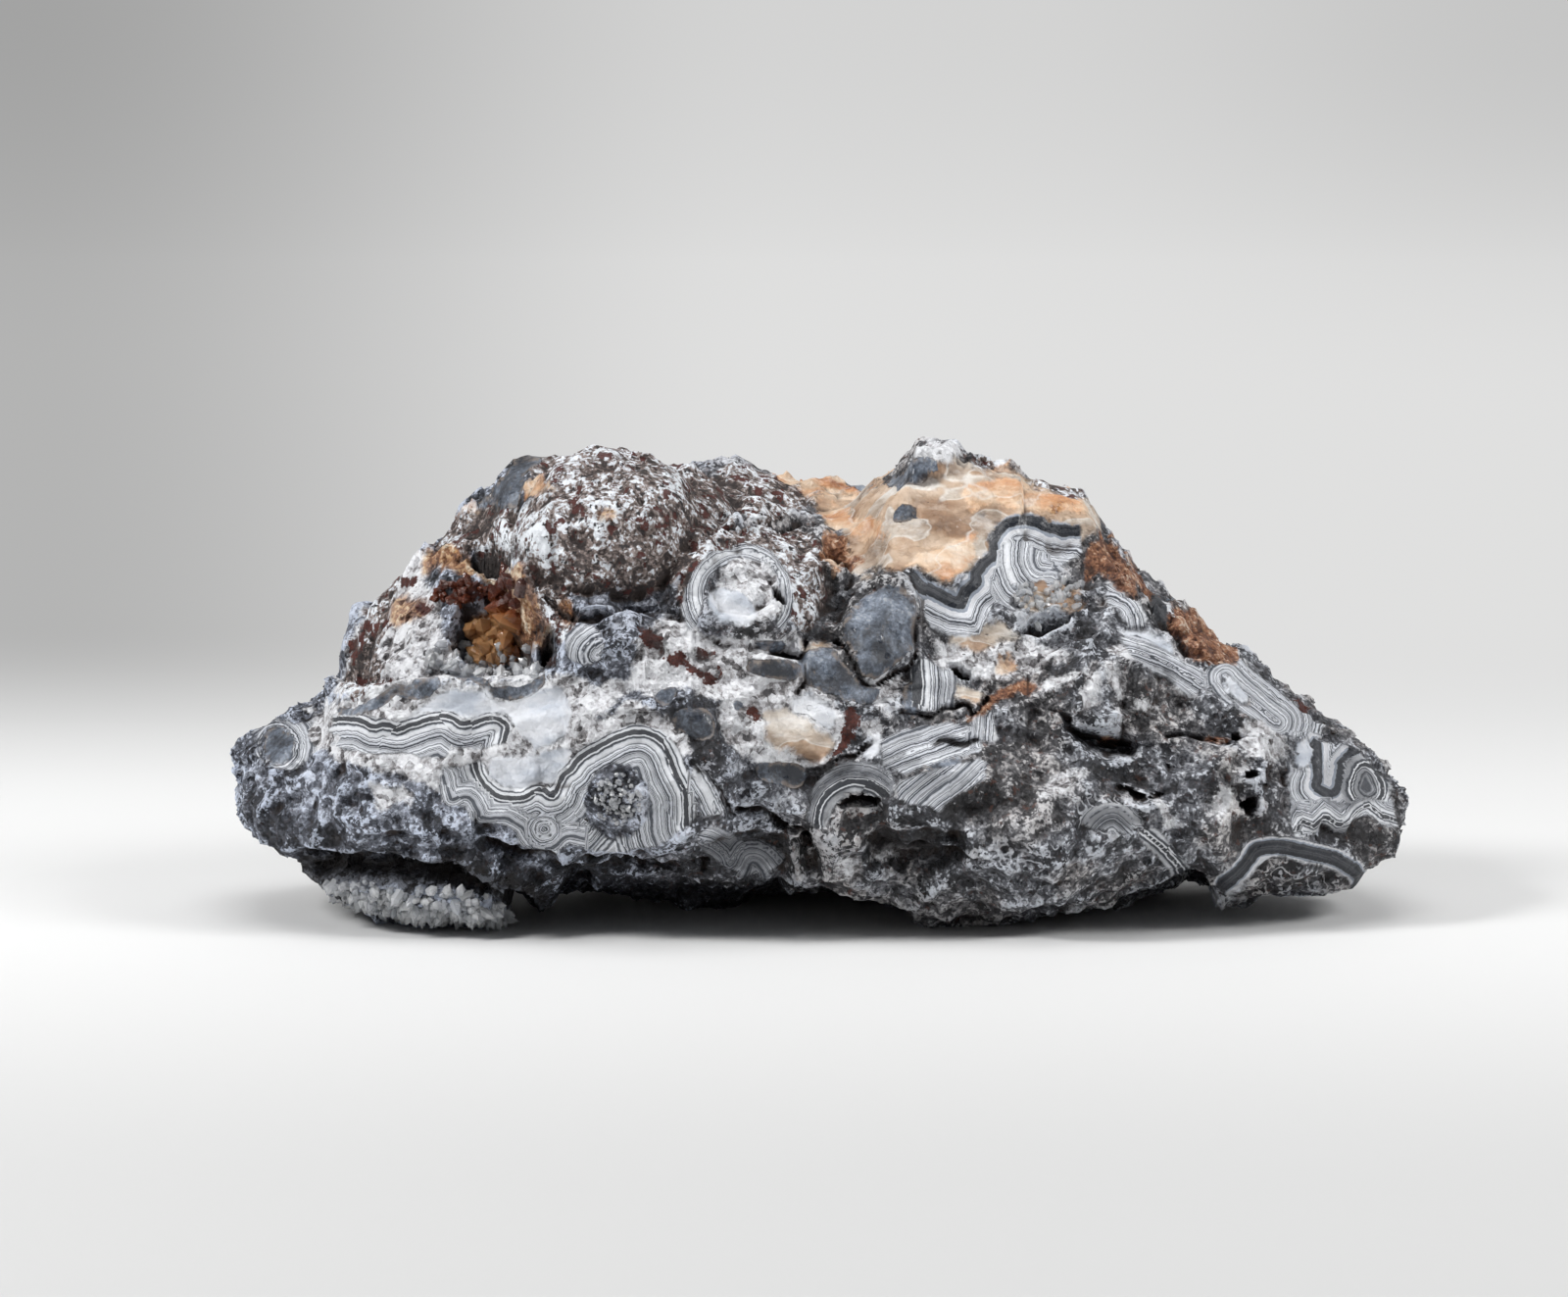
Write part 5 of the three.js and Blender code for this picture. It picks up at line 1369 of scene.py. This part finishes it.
def agate_material():
    """Broken grey quartz grains, with each finish laid over them inside its own crinkled edge, then painted
    shade in recesses, holes and undersides.
    """
    material, tree, shader = new_material("lace agate")
    t = Textures(tree)
    value = grit_value(t)
    cream, peach = cream_and_peach(t)
    crust, pits = crust_colour(t)
    fleck = t.sway(0.7, powder=1.7, cell=0.8, plate=0.6, speck=0.4, grain=0.8) + t.proud * 0.9
    worn = (t.powder - 0.5).between(0.12, 0.24)
    finishes = [
        ("chalk", fleck.ramp("chalk"), 1),
        ("cream", cream, 1),
        ("peach", peach, 0.85),
        ("speckled", crust, 1),
        ("slate", slate_colour(t), 1),
        ("gel", (t.smear * 1.5 - 0.25).ramp("gel"), 0.95),
        ("lace", lace_colour(t), 1 - worn * 0.55),
        ("rust", (t.sway(0.52, powder=2.0, grain=1.5, cell=0.5) + t.proud * 0.5).ramp("rust"), 0.95),
        ("amber", (value * 1.2 - 0.05).ramp("amber"), 0.85),
        ("red", (t.grain * 0.8 + t.powder * 0.6 - 0.25).ramp("red"), 1),
    ]
    surface = grit_colour(t, value)
    for name, laid, strength in finishes:
        surface = surface.mixed_into(laid, t.cover[name] * strength)
    # Painted shade: dark brown laid into the points that sit below their neighbours
    painted_recess_shade = (t.proud * -1 - 0.16).between(0, 0.4)
    surface = surface.mixed_into(colour(48, 36, 30), painted_recess_shade * 0.75)
    # Darkest patches: dark rock, and painted shade in holes and undersides
    surface = surface.mixed_into(colour(30, 26, 26), t.cover["black"] * 0.8)

    glint = t.cell.between(0.9, 0.94) * (1 - t.cover["speckled"]) * (1 - t.cover["chalk"])
    rough = t.sway(0.78, grain=0.2) - glint * 0.5
    for name, sleeker in (("slate", 0.28), ("gel", 0.3), ("lace", 0.2), ("cream", 0.3), ("amber", 0.3)):
        rough = rough - t.cover[name] * sleeker

    height = t.sway(t.small_facets * 1.5 + t.large_facets * 1.1, grain=0.25, edge=0.4)
    for name, flatter in (("slate", 0.9), ("gel", 0.75), ("lace", 0.8), ("cream", 0.7), ("speckled", 0.3)):
        height = height * (1 - t.cover[name] * flatter)
    height = t.sway(height + t.large_facets * 0.16, grain=0.06) - pits * t.cover["speckled"] * 0.25
    bump = height.node("ShaderNodeBump", {}, {"Strength": 0.9, "Distance": MM, "Height": height})

    tree.links.new(surface.socket, shader.inputs["Base Color"])
    tree.links.new(rough.socket, shader.inputs["Roughness"])
    tree.links.new(bump.socket, shader.inputs["Normal"])
    shader.inputs["IOR"].default_value = 1.54
    return material


def quartz_material(name, transmission, attribute_name):
    """See-through quartz: its tint runs through the ramp of its name by an attribute and a little noise."""
    material, tree, shader = new_material(name)
    at = millimetres(tree)
    tint = (attribute(tree, attribute_name) + (at.noise(1.6, 2) - 0.5) * 0.5).ramp(name)
    height = at.noise(0.3, 2)
    bump = height.node("ShaderNodeBump", {}, {"Strength": 0.5, "Distance": MM * 0.08, "Height": height})
    tree.links.new(tint.socket, shader.inputs["Base Color"])
    tree.links.new(bump.socket, shader.inputs["Normal"])
    shader.inputs["Roughness"].default_value = 0.12
    shader.inputs["IOR"].default_value = QUARTZ_IOR
    shader.inputs["Transmission Weight"].default_value = transmission
    return material


def make_camera():
    """A camera on the eye's place, whose picture is MAP_WIDTH wide at the aim."""
    forward = Vector((0, math.cos(EYE_RISE), -math.sin(EYE_RISE)))
    data = bpy.data.cameras.new("eye")
    data.sensor_width = 36.0
    data.lens = data.sensor_width * EYE_DISTANCE / MAP_WIDTH
    data.clip_start, data.clip_end = 0.05, 10.0
    camera = bpy.data.objects.new("eye", data)
    camera.location = (Vector(AIM + BOX_SHIFT) - forward * EYE_DISTANCE) * MM
    camera.rotation_mode = "QUATERNION"
    camera.rotation_quaternion = forward.to_track_quat("-Z", "Y")
    bpy.context.scene.collection.objects.link(camera)
    bpy.context.scene.camera = camera


def make_light(name, place, aim, size, power):
    """A square soft light at a place, turned to its aim, all in millimetres."""
    data = bpy.data.lights.new(name, "AREA")
    data.size = size * MM
    data.energy = power
    light = bpy.data.objects.new(name, data)
    light.location = Vector(place) * MM
    light.rotation_mode = "QUATERNION"
    light.rotation_quaternion = (Vector(aim) - Vector(place)).to_track_quat("-Z", "Y")
    bpy.context.scene.collection.objects.link(light)


def make_room():
    """Three soft lights and the pale glow of a room."""
    make_light("top softbox", place=(0, -60, 620), aim=(0, 0, 20), size=420, power=1.4)
    make_light("left softbox", place=(-430, -190, 380), aim=(-10, 0, 25), size=130, power=2.4)
    make_light("right softbox", place=(430, -190, 380), aim=(10, 0, 25), size=190, power=1.7)
    world = bpy.data.worlds.new("room")
    world.use_nodes = True
    background = world.node_tree.nodes["Background"]
    background.inputs["Color"].default_value = (0.9, 0.92, 0.95, 1)
    background.inputs["Strength"].default_value = 0.2
    bpy.context.scene.world = world
    bpy.context.scene.view_settings.view_transform = "Standard"


def make_stage():
    """A pale floor that curves up, far behind, into a backdrop: a profile carried across. The floor is
    painted darker towards the front, painted shade; its far part and the backdrop glow with painted light,
    darker to the left and at the upper right.
    """
    across, depth, radius, height = 3000.0, 1000.0, 500.0, 2600.0
    bend = np.linspace(0, math.pi / 2, 24)
    profile = [(-3000.0, 0.0)] + [(depth + radius * math.sin(a), radius * (1 - math.cos(a))) for a in bend]
    profile.append((depth + radius, height))
    points = np.array([(side * across, y, z) for y, z in profile for side in (-1, 1)])
    rows = np.arange(len(profile) - 1) * 2
    faces = np.column_stack([rows, rows + 1, rows + 3, rows + 2])
    stage = new_mesh_object("studio_floor", points, [faces])
    material, tree, shader = new_material("pale card with painted shade and glow")
    at = millimetres(tree)
    back = at.part("Y")
    away = back + 695
    aside = at.part("X").maths("DIVIDE", away) * 700
    slope = (112 - at.part("Z")).maths("DIVIDE", away)
    glowing = back.between(70, 240)
    # Painted shade: the floor darker towards the front; far back it turns black and glows instead
    shade = (glowing + back.between(20, -150) * 0.28).ramp("floor")
    # Painted light: the far floor and backdrop glow, brighter lower down, darker to the left and at the upper
    # right
    glow = slope.between(0.03, 0.085) * 0.06 + 0.63 - aside.between(0, -80) * 0.28
    glow = glow - aside.between(20, 80) * slope.between(0.09, 0.035) * 0.09
    light = (glow * glowing).ramp("backdrop")
    tree.links.new(shade.socket, shader.inputs["Base Color"])
    tree.links.new(light.socket, shader.inputs["Emission Color"])
    shader.inputs["Emission Strength"].default_value = 1.0
    shader.inputs["Roughness"].default_value = 0.7
    stage.data.materials.append(material)


make_camera()
make_stage()
make_room()

random = np.random.default_rng(7)
stone, points, fields = make_stone()
normals = surface_normals(stone)
stone.data.materials.append(agate_material())

grains = make_grains(points, normals, fields, random)
grains.data.materials.append(stone.data.materials[0])

druse, druse_points = make_crystals("quartz_druse", DRUSE_GROUPS, points, normals, fields, random)
tints = random.uniform(0, 1, len(druse_points) // CRYSTAL_CORNERS)
add_attributes(druse, {"tint": np.repeat(tints, CRYSTAL_CORNERS)})
druse.data.materials.append(quartz_material("clear quartz", 0.6, "tint"))

pocket_quartz, pocket_points = make_crystals("pocket_quartz", POCKET_GROUPS, points, normals, fields, random)
across, down = on_map(pocket_points - BOX_SHIFT).T
add_attributes(pocket_quartz, {"redness": smooth(634, 612, down) * 0.85 + smooth(505, 530, across) * 0.35})
pocket_quartz.data.materials.append(quartz_material("amber quartz", 0.5, "redness"))

for piece, slot in ((stone, "agate"), (grains, "agate"), (druse, "quartz"), (pocket_quartz, "quartz")):
    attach(piece, "root")
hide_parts("agate_stone")
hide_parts("pocket_crystals")
